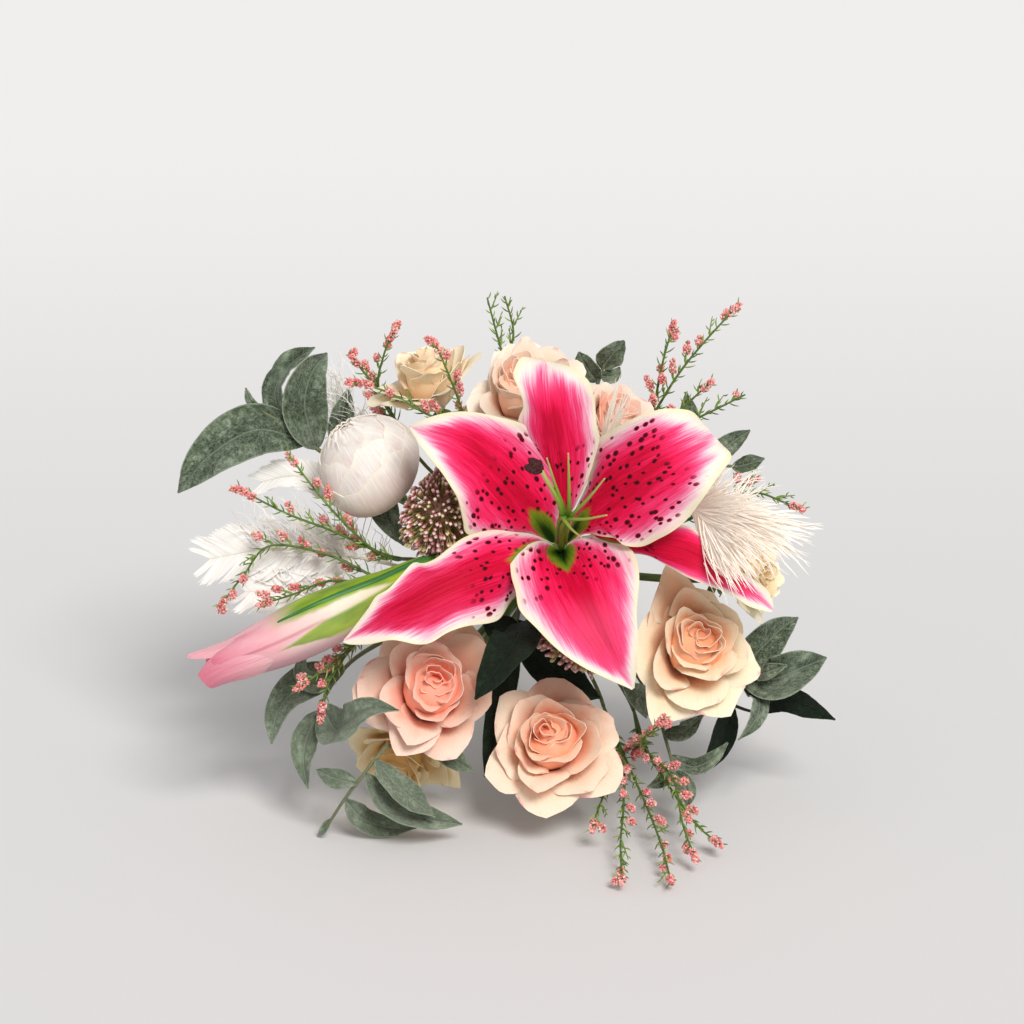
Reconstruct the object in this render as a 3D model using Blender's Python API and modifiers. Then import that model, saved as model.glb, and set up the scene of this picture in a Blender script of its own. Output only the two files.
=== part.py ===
"""A bridal bouquet laid on its side: lily, roses, peony bud, alliums, heather, sage leaves and feathers on a bound handle.

Points are written in the bouquet's own frame, in millimetres: +z runs up the handle's axis and out of the
flowers' face, +y is the top of the face and +x its right side. An empty then lays the whole bunch down.
"""

import math

import bmesh
import bpy
import numpy as np
from mathutils import Matrix, Vector

MM = 0.001

# Driving dimensions
LEAN = 20.0  # degrees that the handle's axis rises above the surface it lies on
REST_HEIGHT = 109.40  # height of the frame's origin above the surface
REST_SHIFT = -82.77  # moves the bunch along the surface, so that its box is centred
REST_SIDE = 14.63
NECK = -111.0  # where the stems meet
STEM_ENDS = -283.2
TAPE_TOP, TAPE_BOTTOM = -112.0, -121.0
RIBBON_TOP, RIBBON_BOTTOM = -121.4, -236.0
RING_SPACING = (0, 55, 28, 15)  # least angle between the stems of each ring, from the lily's stem outwards
SLEEVE_BORE, SLEEVE_SIDES = 14.3, 14
RIBBON_WALL, TAPE_WALL = 1.6, 1.0
PETAL, LEAF, TEPAL = 0.8, 0.9, 1.0  # thicknesses
TEPAL_TIP = 1.2  # half the least width of a tepal
SHARP_EDGE = 75  # degrees between faces, past which an edge shows on a round piece
JOINT_GAP = 0.35
ROSE_STEM, WIRE_STEM, LEAF_STEM, LILY_STEM = 1.9, 0.9, 1.3, 2.2

# Round blooms: centre, the way they face, radius
BLOOMS = {
    "rose_front": ((5.5, -74.5, 22), (0.0, 0.28, 0.96), 32),
    "rose_left": ((-49, -53, 25), (0.08, 0.22, 0.97), 31),
    "rose_right": ((69, -31.5, 22), (0.12, 0.18, 0.97), 33),
    "rose_top": ((-8, 84, 16), (-0.08, 0.62, 0.78), 31),
    "rose_upper_left": ((-49.5, 90, 2), (-0.25, 0.9, 0.32), 27),
    "rose_upper_right": ((33, 71, 6), (0.35, 0.6, 0.72), 23),
    "rose_far_right": ((95, -1, 6), (0.8, 0.05, 0.6), 24),
    "rose_lower_left": ((-65, -86.5, -16), (-0.3, -0.72, 0.62), 23),
    "peony": ((-76, 49, 20), (-0.3, 0.35, 0.89), 25),
    "allium_left": ((-45, 29, 30), (-0.25, 0.2, 0.95), 21),
    "allium_front": ((22.5, -22, 15), (0.15, -0.3, 0.94), 27.5),
}
ROSES = [name for name in BLOOMS if name.startswith("rose")]
BLOOM_GAP = 2.0

LILY_HUB = (10.0, 11.0, 12.0)
# Each tepal: its midrib, then the outlines of its left and right side, from the throat to the tip, and how far
# each side stands in front of the midrib at five points along it
TEPALS = {
    "top": (
        [(10, 15, 15), (10, 30, 34), (6.8, 55, 56), (3.5, 71.7, 69), (2.1, 85.1, 71), (1.6, 94.5, 63)],
        [(8.5, 15), (7.5, 30), (2.8, 45.9), (-5.7, 59.5), (-9.7, 68.6), (-7.5, 75.4), (-9.7, 82.8), (-11.9, 87.9),
         (-11.1, 92.4), (-8, 96.7), (-1.5, 95.8)],
        [(11.5, 15.5), (14, 27), (17, 33.5), (21.5, 43.7), (24.9, 55), (26.1, 60.7), (24.6, 68), (23.8, 77.7),
         (21.5, 85.6), (17, 89.6), (11.3, 93), (4.5, 94.6)],
        (0, -8, -3, 2, -3), (0, 7, 5, 3, -3),
    ),
    "lower_right": (
        [(12.5, 12, 14), (28.8, 14.5, 30), (48.1, 13, 46), (67.4, 8.9, 54), (87, -2.2, 54), (104, -15.4, 47)],
        [(12, 13), (28.3, 20), (45.2, 21.3), (64.1, 22.3), (71.3, 18.4), (77.8, 11.8), (84.3, 5.3), (90.9, 0.8),
         (96.1, -2.5), (101.3, -6.7), (104, -13.2)],
        [(12, 10.5), (28.3, 10.5), (41.3, 9.9), (49.1, 8.6), (57.6, 4), (66.1, -0.9), (74.6, -4.4), (81.7, -7.1),
         (86.9, -10), (93.5, -13.9), (102.6, -16.5)],
        (0, -2, -5, 0, 0), (0, -3, 0, 2, 0),
    ),
    "lower_left": (
        [(6.5, 12.5, 14), (-12, 7.3, 38), (-31, 1.1, 56), (-48.1, -6.9, 62), (-67.1, -17.3, 61),
         (-87.6, -29.1, 53)],
        [(6.5, 11), (-4.7, 2), (-9.2, -7), (-13.8, -12.5), (-18.3, -19.3), (-23.7, -21.3), (-32.8, -22.3),
         (-41, -25), (-48.2, -29.3), (-54.6, -30.2), (-65.5, -28.3), (-75.4, -30.2), (-83.6, -30.6), (-87.7, -29.6)],
        [(6.5, 14), (-3.8, 18.4), (-11.9, 19.4), (-20.1, 20.4), (-29.2, 18.8), (-35.5, 16.1), (-41, 12),
         (-46.4, 7.7), (-51.9, 5.5), (-56.4, 5.8), (-61.8, 0.2), (-67.3, -5.7), (-72.7, -8.9), (-76.3, -14.3),
         (-81.8, -21.5), (-87.2, -28.6)],
        (0, -8, 1, 3, 0), (0, 6, 5, 3, 0),
    ),
    "upper_left": (
        [(6.5, 14.5, 15), (-4, 28, 36), (-22.7, 49.3, 56), (-37.3, 59.4, 66), (-50.2, 63.8, 67), (-58, 66.2, 62)],
        [(5.5, 13.5), (-5.7, 18.7), (-19.3, 17), (-32.3, 18.4), (-34.3, 24.4), (-36.3, 33.5), (-39.7, 39.7),
         (-44.2, 46.5), (-49.3, 52.7), (-55, 60.7), (-58.1, 65.9)],
        [(8, 15), (8.5, 28), (9.9, 43.7), (8.8, 52.2), (5.1, 58.4), (-1.2, 63.5), (-9.7, 68), (-19.3, 70.6),
         (-30.6, 72.6), (-40.8, 72.2), (-50.5, 69.7), (-57.8, 66.5)],
        (0, -2, 5, 4, 0), (0, 6, 5, 3, 0),
    ),
    "upper_right": (
        [(12, 14.5, 15), (21, 29, 36), (36.1, 41.5, 56), (50, 49.8, 68), (63.5, 56.9, 71), (76, 62.5, 62)],
        [(11.5, 15.5), (16, 29), (21.4, 40.9), (24, 50), (26, 60.4), (30.2, 63.7), (36.8, 67.6), (45.2, 71.5),
         (54.4, 73.8), (62.8, 73.6), (67.7, 72.1), (73, 66.5)],
        [(12.5, 13.5), (20.5, 18.4), (28.3, 17.4), (34.1, 16.4), (37.4, 13.5), (45.2, 13), (53.1, 16.7),
         (59.6, 20.6), (64.8, 25.2), (70.6, 33), (77.8, 43.5), (84.3, 52.6), (80, 58.5)],
        (0, -6, -1, 3, -4), (0, 8, 7, 3, -4),
    ),
    "bottom": (
        [(9.5, 10, 14), (12, 3, 37), (17.5, -9, 57), (24, -22, 64), (32, -37, 63), (41.2, -50.2, 55)],
        [(11, 11), (15.3, 15.6), (21.6, 17.6), (29.8, 17), (36.1, 14.7), (42, 9.7), (43.9, 0.2), (42.9, -11.6),
         (42.5, -17.9), (43.2, -28.8), (42.8, -39.7), (41.6, -49.9)],
        [(8, 11), (4.4, 14), (0.7, 15.2), (-3.8, 14.3), (-9.2, 11.1), (-13, 7.5), (-13, 0.2), (-11, -7),
         (-9.2, -15.2), (-2, -22.9), (7.1, -32), (18, -39.7), (29.8, -45.6), (40.8, -50.6)],
        (0, -9, 0, 3, 0), (0, 2, 2, 3, 0),
    ),
}
# Stamens and the pistil, which part above one column
COLUMN = [(10, 11.6, 17), (9.5, 15.5, 36), (11, 26, 56)]
FILAMENT_TIPS = [(2.7, 52, 83), (12, 54, 86), (28, 43, 83), (29, 27, 80), (18, 17, 76)]
PISTIL_TIP = (0, 47, 80)

BUD_AXIS = [(-40, 9, 26), (-56, 3.5, 34), (-76, -8.5, 41), (-100, -20.5, 45), (-125, -32, 46), (-148, -41, 45)]
BUD_RADII = (2.4, 4.6, 11.2, 13.4, 11.2, 5.0)
# The tips of its lips, and their widths
BUD_LIPS = {"upper": ((-157, -35.8, 47), 14), "lower": ((-146, -50.5, 43), 14)}

# Leafy sage stems: the twig, and leaves as midrib, width and lean
SAGE = {
    "sage_upper_left": (
        [(-82, 44, -22), (-100, 56, -6), (-118, 69, 1), (-129, 76, 3)],
        [
            ([(-106, 60, -2), (-128, 66, 5), (-149, 55, 7), (-165, 37, 3)], 25, (0.1, 0.2, 1)),
            ([(-116, 68, 0), (-121, 83, -3), (-114, 96, -6), (-103, 104, -8)], 15, (-0.6, 0.2, 0.8)),
            ([(-102, 57, -5), (-107, 76, 5), (-104, 91, 7), (-97, 101, 2)], 21, (0.1, 0, 1)),
            ([(-92, 52, -14), (-91, 70, -12), (-88, 85, -13)], 14, (0.4, 0, 1)),
            ([(-127, 75, 3), (-132, 79, 4), (-134, 85, 4)], 4, (0, 0.3, 1)),
            ([(-83, 45, -21), (-76, 37, -10), (-69, 24, -4), (-62, 13, -3)], 15, (0.2, 0, 1)),
        ],
    ),
    "sage_top": (
        [(18, 66, -34), (25, 82, -22), (29, 94, -14), (32, 101, -10)],
        [
            ([(29, 94, -14), (33, 100, -9), (39, 107, -9)], 13, (0.3, -0.2, 1)),
            ([(27, 88, -18), (21, 96, -14), (18, 102, -14)], 12, (-0.4, 0, 1)),
            ([(28, 91, -16), (34, 91, -14), (37, 95, -14)], 7, (0, 0.2, 1)),
        ],
    ),
    "sage_right": (
        [(46, 44, -32), (64, 52, -18), (80, 50, -8), (92, 49, -6)],
        [
            ([(88, 49, -7), (94, 50, -4), (103, 53, -4)], 8, (0, 0.3, 1)),
            ([(66, 52, -17), (70, 66, -24), (68, 84, -26)], 12, (-0.3, 0, 1)),
            ([(76, 51, -10), (88, 60, -12), (97, 66, -15)], 10, (0.1, 0, 1)),
        ],
    ),
    "sage_lower_right": (
        [(56, -36, -46), (82, -45, -22), (92, -46, -8), (100, -46, 0)],
        [
            ([(88, -46, -14), (100, -36, -10), (110, -26, -10), (119, -20, -13)], 17, (-0.1, 0, 1)),
            ([(94, -46, -6), (106, -48, 4), (118, -43, 6), (131, -38, 2)], 20, (0, 0.15, 1)),
            ([(98, -46, 0), (104, -44, 12), (112, -41, 15)], 8, (0, 0.3, 1)),
            ([(92, -46, -8), (100, -56, 2), (98, -66, 12), (90, -75, 16)], 10, (0.3, -0.3, 1)),
        ],
    ),
    "sage_low_right": (
        [(44, -44, -60), (54, -62, -28), (58, -76, -12), (62, -91, 2)],
        [
            ([(57, -73, -15), (66, -72, -4), (75, -64, 0)], 9, (0, 0.4, 1)),
            ([(60, -83, -6), (70, -88, 0), (79, -84, 2), (86, -77, 0)], 8, (0.1, 0.2, 1)),
            ([(62, -90, 1), (67, -98, 8), (67, -106, 12)], 9, (0.2, 0, 1)),
            ([(61, -87, -1), (56, -94, 4), (49, -97, 6)], 7, (-0.3, 0, 1)),
            ([(54, -62, -28), (50, -58, -14), (44, -54, -1), (37, -49, 9)], 15, (0.3, -0.2, 1)),
        ],
    ),
    "sage_left": (
        [(-66, -28, -48), (-86, -40, -18), (-97, -54, -4), (-101, -66, 2)],
        [
            ([(-89, -43, -14), (-108, -50, -2), (-119, -62, 6), (-122, -77, 10)], 17, (-0.2, 0.1, 1)),
            ([(-100, -62, 0), (-106, -74, 9), (-107, -86, 14), (-105, -97, 16)], 12, (-0.3, 0.1, 1)),
            ([(-95, -50, -6), (-104, -49, 6), (-108, -43, 13), (-106, -35, 15)], 10, (-0.3, 0.2, 1)),
            ([(-99, -60, 0), (-93, -70, 16), (-88, -68, 32), (-76, -60, 45), (-63, -60, 49)], 19, (-0.4, 0.5, 0.8)),
        ],
    ),
    "sage_low_front": (
        [(-38, -56, -44), (-58, -75, 8), (-70, -78, 26), (-78, -88, 30), (-88, -101, 24), (-97, -115, 12)],
        [
            ([(-74, -83, 29), (-68, -90, 34), (-58, -100, 34), (-47, -109, 28)], 13, (0.3, 0.5, 0.8)),
            ([(-79, -89, 30), (-68, -103, 26), (-52, -110, 22), (-35, -113, 18)], 14, (0.2, 0.3, 1)),
            ([(-88, -101, 24), (-80, -112, 12), (-68, -117, 8), (-56, -117, 7)], 12, (-0.1, 0.4, 1)),
            ([(-82, -94, 28), (-92, -92, 26), (-101, -88, 22)], 10, (0, 0.4, 1)),
            ([(-95, -111, 14), (-99, -117, 11), (-101, -118.5, 9)], 4, (0, 0.4, 1)),
            ([(-50, -68, -13), (-44, -79, -2), (-37, -86, 2), (-30, -90, 0)], 13, (0.1, 0.1, 1)),
        ],
    ),
}
# Dark glossy leaves, each pair on one wire
DARK_LEAVES = {
    "dark_leaf_centre": (
        [(-8, -8, -50), (-10, -20, -4), (-11, -25, 22)],
        [
            ([(-10, -22, 16), (-10, -27, 38), (-19, -41, 49), (-29, -55, 53)], 22, (-0.2, 0.3, 1)),
            ([(-10, -22, 10), (-18, -25, 14), (-26, -22, 14)], 12, (0, 0, 1)),
            ([(-10, -21, 4), (2, -38, 0), (16, -51, -6), (28, -57, -10)], 20, (0, 0, 1)),
            ([(-10, -23, 14), (-16, -50, 4), (-22, -76, 2), (-25, -92, 10)], 12, (0, 0.1, 1)),
        ],
    ),
    "dark_leaf_right": (
        [(60, -48, -52), (92, -62, -32), (100, -64, -26)],
        [
            ([(98, -64, -28), (112, -58, -20), (124, -62, -14), (136, -67, -12)], 12, (0.1, 0.2, 1)),
            ([(90, -61, -33), (84, -78, -24), (76, -92, -20)], 12, (0.1, -0.1, 1)),
        ],
    ),
}
# Heather: the point where the wire leaves the bunch, and the branches
HEATHER = {
    "heather_left_upper": (
        (-62, 7, 8),
        [
            [(-66, 7, 18), (-76, 12, 28), (-95, 31, 34), (-114, 55, 31)],
            [(-72, 10, 25), (-94, 20, 27), (-115, 28, 26), (-138, 40, 24)],
        ],
    ),
    "heather_left_lower": (
        (-68, -8, 6),
        [
            [(-74, -2, 16), (-96, 9, 19), (-122, 13, 18), (-134, 0, 17), (-146, -16, 16)],
            [(-78, -4, 16), (-96, -3, 20), (-112, -9, 22), (-128, -14, 24)],
        ],
    ),
    "heather_upper_left": (
        (-30, 60, -14),
        [
            [(-33, 66, 16), (-35, 74, 30), (-41, 90, 38), (-48, 106, 38)],
            [(-33, 66, 16), (-50, 72, 29), (-68, 82, 29), (-87, 88, 22)],
        ],
    ),
    "heather_top_left": (
        (-62, 62, -44),
        [
            [(-74, 84, -30), (-72, 100, -22), (-66, 114, -18)],
            [(-74, 84, -30), (-82, 94, -26), (-88, 102, -24)],
        ],
    ),
    "heather_top": (
        (-14, 70, -42),
        [
            [(-16, 96, -26), (-20, 112, -20), (-24, 127, -18)],
            [(-14, 98, -26), (-12, 112, -22), (-16, 128, -20)],
        ],
    ),
    "heather_upper_right": (
        (44, 56, -30),
        [
            [(53, 74, -14), (64, 92, -6), (77, 108, -2), (92, 124, -2)],
            [(52, 74, -17), (55, 90, -9), (58, 103, -5), (62, 116, -4)],
            [(56, 66, -16), (64, 74, -6), (72, 82, -2), (80, 89, 0)],
            [(58, 62, -18), (70, 70, -8), (82, 76, -2), (94, 82, 0)],
        ],
    ),
    "heather_right": (
        (62, 22, -20),
        [
            [(84, 32, -2), (98, 37, 10), (110, 33, 16), (120, 29, 18)],
            [(84, 32, -2), (92, 40, 6), (100, 44, 10)],
        ],
    ),
    "heather_lower_left": (
        (-78, -26, -4),
        [
            [(-84, -31, 14), (-92, -39, 25), (-102, -46, 30), (-111, -52, 32)],
            [(-86, -34, 14), (-95, -48, 24), (-98, -58, 27), (-99, -67, 28)],
        ],
    ),
    "heather_bottom": (
        (30, -62, -36),
        [
            [(36, -84, -10), (30, -98, 10), (26, -107, 22), (23, -116, 30)],
            [(38, -86, -8), (38, -104, 14), (36, -121, 40), (36, -138, 66)],
            [(40, -86, -8), (48, -104, 14), (54, -121, 40), (58, -138, 66)],
        ],
    ),
    "heather_low_right": (
        (44, -64, -34),
        [
            [(50, -82, -6), (60, -98, 16), (70, -112, 28), (82, -122, 36)],
            [(48, -80, -8), (60, -92, 22), (64, -112, 40), (70, -128, 50)],
            [(46, -78, -10), (47, -74, 22), (52, -68, 40), (56, -62, 46)],
        ],
    ),
}
# Feathers: the quill, half the vane's width, and the side that its flat face looks to
FEATHERS = {
    "feather_left_long": ([(-58, 2, -18), (-92, 9, 2), (-126, 11, 5), (-150, 7, 2)], 13, (0.1, 0, 1)),
    "feather_left_low": ([(-66, -16, -14), (-92, -12, 0), (-116, -8, 4), (-134, -8, 4)], 10, (0.1, 0.1, 1)),
    "feather_left_vane": ([(-74, 26, -22), (-96, 40, -10), (-112, 45, -8), (-128, 42, -10)], 9, (0, 0.1, 1)),
    "feather_upper_left": ([(-62, 42, -40), (-80, 60, -30), (-90, 79, -26), (-94, 98, -22)], 9, (-0.2, 0, 1)),
    "feather_right": ([(52, 18, -14), (69, 31, 41), (92, 25, 61), (114, 14, 58)], 16, (0.1, 0.1, 1)),
    "feather_top": ([(20, 40, -26), (26, 52, 24), (32, 74, 44), (37, 90, 50)], 6, (0.2, -0.2, 1)),
}
# Extra pull, where a stem would run into its neighbour
STEM_BENDS = {
    "feather_left_long": (0, -6, 0),
    "rose_far_right": (0, 5, 0),
    "feather_upper_left": (0, 6, 0),
    "rose_front": (3, 0, 4),
    "feather_right": (0, 4, 4),
    "heather_left_upper": (-4, -2, 0),
    "rose_lower_left": (-3, -4, 0),
}
STEMS_BY_RING = (
    ("lily_stem",),
    ("rose_front", "rose_left", "dark_leaf_centre", "rose_top", "allium_left", "allium_front"),
    (
        "rose_upper_left", "rose_upper_right", "rose_far_right", "rose_lower_left", "peony", "lily_bud",
        "heather_left_upper", "heather_upper_left", "feather_right", "rose_right",
    ),
    (
        "sage_upper_left", "sage_top", "sage_right", "sage_lower_right", "sage_low_right", "sage_left",
        "sage_low_front", "dark_leaf_right", "heather_left_lower", "heather_top_left", "heather_top",
        "heather_upper_right", "heather_right", "heather_lower_left", "heather_bottom", "heather_low_right",
        "feather_left_long", "feather_left_low", "feather_left_vane", "feather_upper_left", "feather_top",
    ),
)


# Small tools for meshes


def as_vector(values):
    return np.array(values, float)


def unit(values):
    values = as_vector(values)
    return values / np.linalg.norm(values)


def linked(name, data):
    made = bpy.data.objects.new(name, data)
    bpy.context.scene.collection.objects.link(made)
    return made


def finished(name, shape):
    """Turns a bmesh shape into an object."""
    mesh = bpy.data.meshes.new(name)
    shape.to_mesh(mesh)
    shape.free()
    return linked(name, mesh)


def baked(made):
    """Replaces an object by one with the mesh that its modifiers, or its curve's bevel, give."""
    bpy.context.view_layer.update()
    seen = made.evaluated_get(bpy.context.evaluated_depsgraph_get())
    shape = bmesh.new()
    shape.from_mesh(bpy.data.meshes.new_from_object(seen))
    bmesh.ops.remove_doubles(shape, verts=shape.verts, dist=1e-6)
    name = made.name
    bpy.data.objects.remove(made)
    return finished(name, shape)


def smooth_path(points, count):
    """Points evenly spread on a rounded curve through the given ones."""
    points = as_vector(points)
    ends = np.vstack([2 * points[0] - points[1], points, 2 * points[-1] - points[-2]])
    fine = []
    for a, b, c, d in zip(ends, ends[1:], ends[2:], ends[3:]):
        for t in np.linspace(0, 1, 12, endpoint=False):
            fine.append(
                0.5 * (2 * b + (c - a) * t + (2 * a - 5 * b + 4 * c - d) * t**2 + (3 * b - a - 3 * c + d) * t**3)
            )
    fine = np.array(fine + [points[-1]])
    along = np.concatenate([[0], np.cumsum(np.linalg.norm(np.diff(fine, axis=0), axis=1))])
    wanted = np.linspace(0, along[-1], count)
    return np.stack([np.interp(wanted, along, fine[:, k]) for k in range(points.shape[1])], axis=1)


def tube(name, points, radii, sides=6):
    """A closed tube along the points: a curve with a round bevel and filled caps."""
    curve = bpy.data.curves.new(name, "CURVE")
    curve.dimensions = "3D"
    curve.bevel_depth = MM
    curve.bevel_resolution = (sides - 4) // 2
    curve.use_fill_caps = True
    spline = curve.splines.new("POLY")
    spline.points.add(len(points) - 1)
    for target, point, radius in zip(spline.points, points, np.broadcast_to(radii, len(points))):
        target.co = (*(point * MM), 1)
        target.radius = radius
    return baked(linked(name, curve))


def blade(name, grid, thickness):
    """A thin closed blade: a grid moved onto its surface, split into triangles, then given its thickness."""
    rows, columns = grid.shape[:2]
    shape = bmesh.new()
    bmesh.ops.create_grid(shape, x_segments=columns - 1, y_segments=rows - 1, size=0.5)
    for vertex in shape.verts:
        column = round((vertex.co.x + 0.5) * (columns - 1))
        row = round((vertex.co.y + 0.5) * (rows - 1))
        vertex.co = grid[row, column] * MM
    bmesh.ops.triangulate(shape, faces=shape.faces)
    made = finished(name, shape)
    wall = made.modifiers.new("wall", "SOLIDIFY")
    wall.thickness = thickness * MM
    wall.offset = 0
    return baked(made)


def rings_along(path, radii, sides, lobe=0.0):
    """Rings of points square to a path, without a twist from one to the next."""
    path = as_vector(path)
    turns = np.arange(sides) * 2 * math.pi / sides
    tangents = np.gradient(path, axis=0)
    side = np.cross(tangents[0], (0.31, 0.95, 0.07))
    rings = []
    for point, tangent, radius in zip(path, tangents, np.broadcast_to(radii, len(path))):
        tangent = unit(tangent)
        side = unit(side - tangent * (side @ tangent))
        size = radius * (1 + lobe * np.cos(3 * turns))
        up = np.cross(tangent, side)
        rings.append(point + np.outer(size * np.cos(turns), side) + np.outer(size * np.sin(turns), up))
    return rings


def loft(rings):
    """A closed loft through rings of points, and its side faces row by row."""
    shape = bmesh.new()
    loops = [[shape.verts.new(point * MM) for point in ring] for ring in rings]
    rows = []
    for low, high in zip(loops, loops[1:]):
        count = len(low)
        rows.append(
            [shape.faces.new((low[k], low[k - count + 1], high[k - count + 1], high[k])) for k in range(count)]
        )
    shape.faces.new(tuple(reversed(loops[0])))
    shape.faces.new(tuple(loops[-1]))
    return shape, rows


def grow_needle(shape, face, reach):
    """Draws one face of a stem out to a point."""
    tip = bmesh.ops.poke(shape, faces=[face])["verts"][0]
    tip.co += Vector(reach) * MM


def grow_bud(shape, face, reach, width):
    """Grows a small bud on one face of a stem: narrow at its foot, wide beyond the middle, then pointed."""
    bud = bmesh.ops.extrude_discrete_faces(shape, faces=[face])["faces"][0]
    centre = bud.calc_center_median()
    across = max((vertex.co - centre).length for vertex in bud.verts)
    for vertex in bud.verts:
        vertex.co = centre + (vertex.co - centre) * (width * MM / across) + Vector(reach) * (0.6 * MM)
    grow_needle(shape, bud, as_vector(reach) * 0.4)


def fuse(name, body, pieces, solver="EXACT"):
    """Joins the pieces to the body in one solid, and drops a loose scrap."""
    if pieces:
        group = bpy.data.collections.new(name + "_pieces")
        bpy.context.scene.collection.children.link(group)
        for piece in pieces:
            group.objects.link(piece)
        union = body.modifiers.new("join", "BOOLEAN")
        union.operation = "UNION"
        union.operand_type = "COLLECTION"
        union.collection = group
        union.solver = solver
        body = baked(body)
        for piece in pieces:
            bpy.data.objects.remove(piece)
        bpy.data.collections.remove(group)
    keep_largest(body)
    body.name = name
    return body


def keep_largest(made):
    shape = bmesh.new()
    shape.from_mesh(made.data)
    left = set(shape.verts)
    groups = []
    while left:
        front = [left.pop()]
        group = set(front)
        while front:
            for edge in front.pop().link_edges:
                for vertex in edge.verts:
                    if vertex in left:
                        left.discard(vertex)
                        group.add(vertex)
                        front.append(vertex)
        groups.append(group)
    groups.sort(key=len)
    scraps = [vertex for group in groups[:-1] for vertex in group]
    bmesh.ops.delete(shape, geom=scraps, context="VERTS")
    shape.to_mesh(made.data)
    shape.free()


def rounded(made):
    """Shades a round piece smooth, with its cut ends left sharp."""
    made.data.shade_smooth()
    made.data.set_sharp_from_angle(angle=math.radians(SHARP_EDGE))
    return made


def material(name, colour, roughness):
    made = bpy.data.materials.new(name)
    made.use_nodes = True
    shader = made.node_tree.nodes["Principled BSDF"]
    shader.inputs["Base Color"].default_value = (*colour, 1)
    shader.inputs["Roughness"].default_value = roughness
    shader.inputs["Metallic"].default_value = 0
    return made


# Blades


def width_share(along, widest, blunt):
    """How wide a leaf or a tepal is along its length, as a share of its greatest width."""
    rise = blunt * widest / (1 - widest)
    along = np.clip(along, 0.004, 0.996)
    peak = widest**rise * (1 - widest) ** blunt
    return along**rise * (1 - along) ** blunt / peak


def blade_grid(midrib, width, face, rows, columns, widest=0.45, blunt=0.8, fold=0.12, wave=0.0, seed=0, foot=0.8):
    """The middle surface of a leaf, tepal or vane on its midrib. face is the side that it shows."""
    chance = np.random.default_rng(seed)
    spine = smooth_path(midrib, rows)
    along = np.linspace(0, 1, rows)
    tangents = np.gradient(spine, axis=0)
    across = np.linspace(-1, 1, columns)
    half = np.maximum(width_share(along, widest, blunt) * width / 2, foot)
    phase = chance.uniform(0, 2 * math.pi, 2)
    grid = np.zeros((rows, columns, 3))
    for i in range(rows):
        side = unit(np.cross(unit(tangents[i]), unit(face)))
        normal = np.cross(side, unit(tangents[i]))
        ripple = wave * np.abs(across) * np.sin(7 * along[i] + phase[(across > 0).astype(int)]) * half[i]
        lift = fold * half[i] * across**2 + ripple
        grid[i] = spine[i] + np.outer(across * half[i], side) + np.outer(lift, normal)
    return grid


# Round blooms, pressed clear of their neighbours


def frame_of(facing, roll=0.0):
    """Axes of a bloom: its own z is the way it faces."""
    z = unit(facing)
    x = unit(np.cross((0.1, 1, 0.2), z))
    y = np.cross(z, x)
    turn = math.radians(roll)
    return np.stack([x * math.cos(turn) + y * math.sin(turn), y * math.cos(turn) - x * math.sin(turn), z])


def pressed(name, grids):
    """Presses a bloom back from the planes that part it from its neighbours."""
    centre, _, radius = BLOOMS[name]
    centre = as_vector(centre)
    grids = [g.copy() for g in grids]
    for other, (place, _, size) in BLOOMS.items():
        if other == name:
            continue
        away = as_vector(place) - centre
        distance = np.linalg.norm(away)
        limit = (distance**2 + radius**2 - size**2) / (2 * distance) - BLOOM_GAP / 2
        away = away / distance
        reach = max(((g - centre) @ away).max() for g in grids) + PETAL / 2
        if reach <= limit:
            continue
        start = 0.25 * limit
        share = (limit - start) / (reach - start)
        for g in grids:
            excess = np.clip((g - centre) @ away - start, 0, None)
            g -= excess[..., None] * (1 - share) * away
    return grids


ROSE_LAYERS = (
    # petals, spread, foot, rim, height and flare, as shares of the bloom's size
    (3, 62, 0.20, 0.54, 1.10, 0.06),
    (4, 54, 0.03, 0.84, 0.86, 0.16),
)
HUB_DEPTH = 0.62  # how far a bloom's foot lies behind its centre, as a share of its radius


def hub_point(name):
    centre, facing, radius = BLOOMS[name]
    return as_vector(centre) - unit(facing) * radius * HUB_DEPTH


def placed(name, grid, roll=0.0):
    return hub_point(name) + grid @ frame_of(BLOOMS[name][1], roll)


def petal_grid(size, turn, layer, height, rows, columns, tuck):
    """One rose petal round the z axis, with one edge tucked inside its neighbour."""
    _, spread, foot, rim, _, flare = layer
    along = np.linspace(0, 1, rows)[:, None]
    across = np.linspace(-1, 1, columns)[None, :]
    reach = along * (1 - 0.16 * across**4 - 0.05 * across**2)
    angle = math.radians(turn) + math.radians(spread) * across * (0.4 + 0.6 * along**0.5)
    bulge = 0.1 + (rim - 0.1) * np.sin(reach * math.pi / 2) ** 0.8 + flare * reach**5 + tuck * across * along
    rise = foot + (height - foot) * reach**0.9 - flare * 0.55 * reach**7
    return size * np.stack([bulge * np.cos(angle), bulge * np.sin(angle), rise + 0 * angle], axis=-1)


def turned(size, profile, sides):
    """Rings of a turned shape, from pairs of radius and height."""
    turns = np.arange(sides) * 2 * math.pi / sides
    rings = [np.stack([r * np.cos(turns), r * np.sin(turns), np.full(sides, h)], axis=-1) for r, h in profile]
    return size * np.array(rings)


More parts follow.
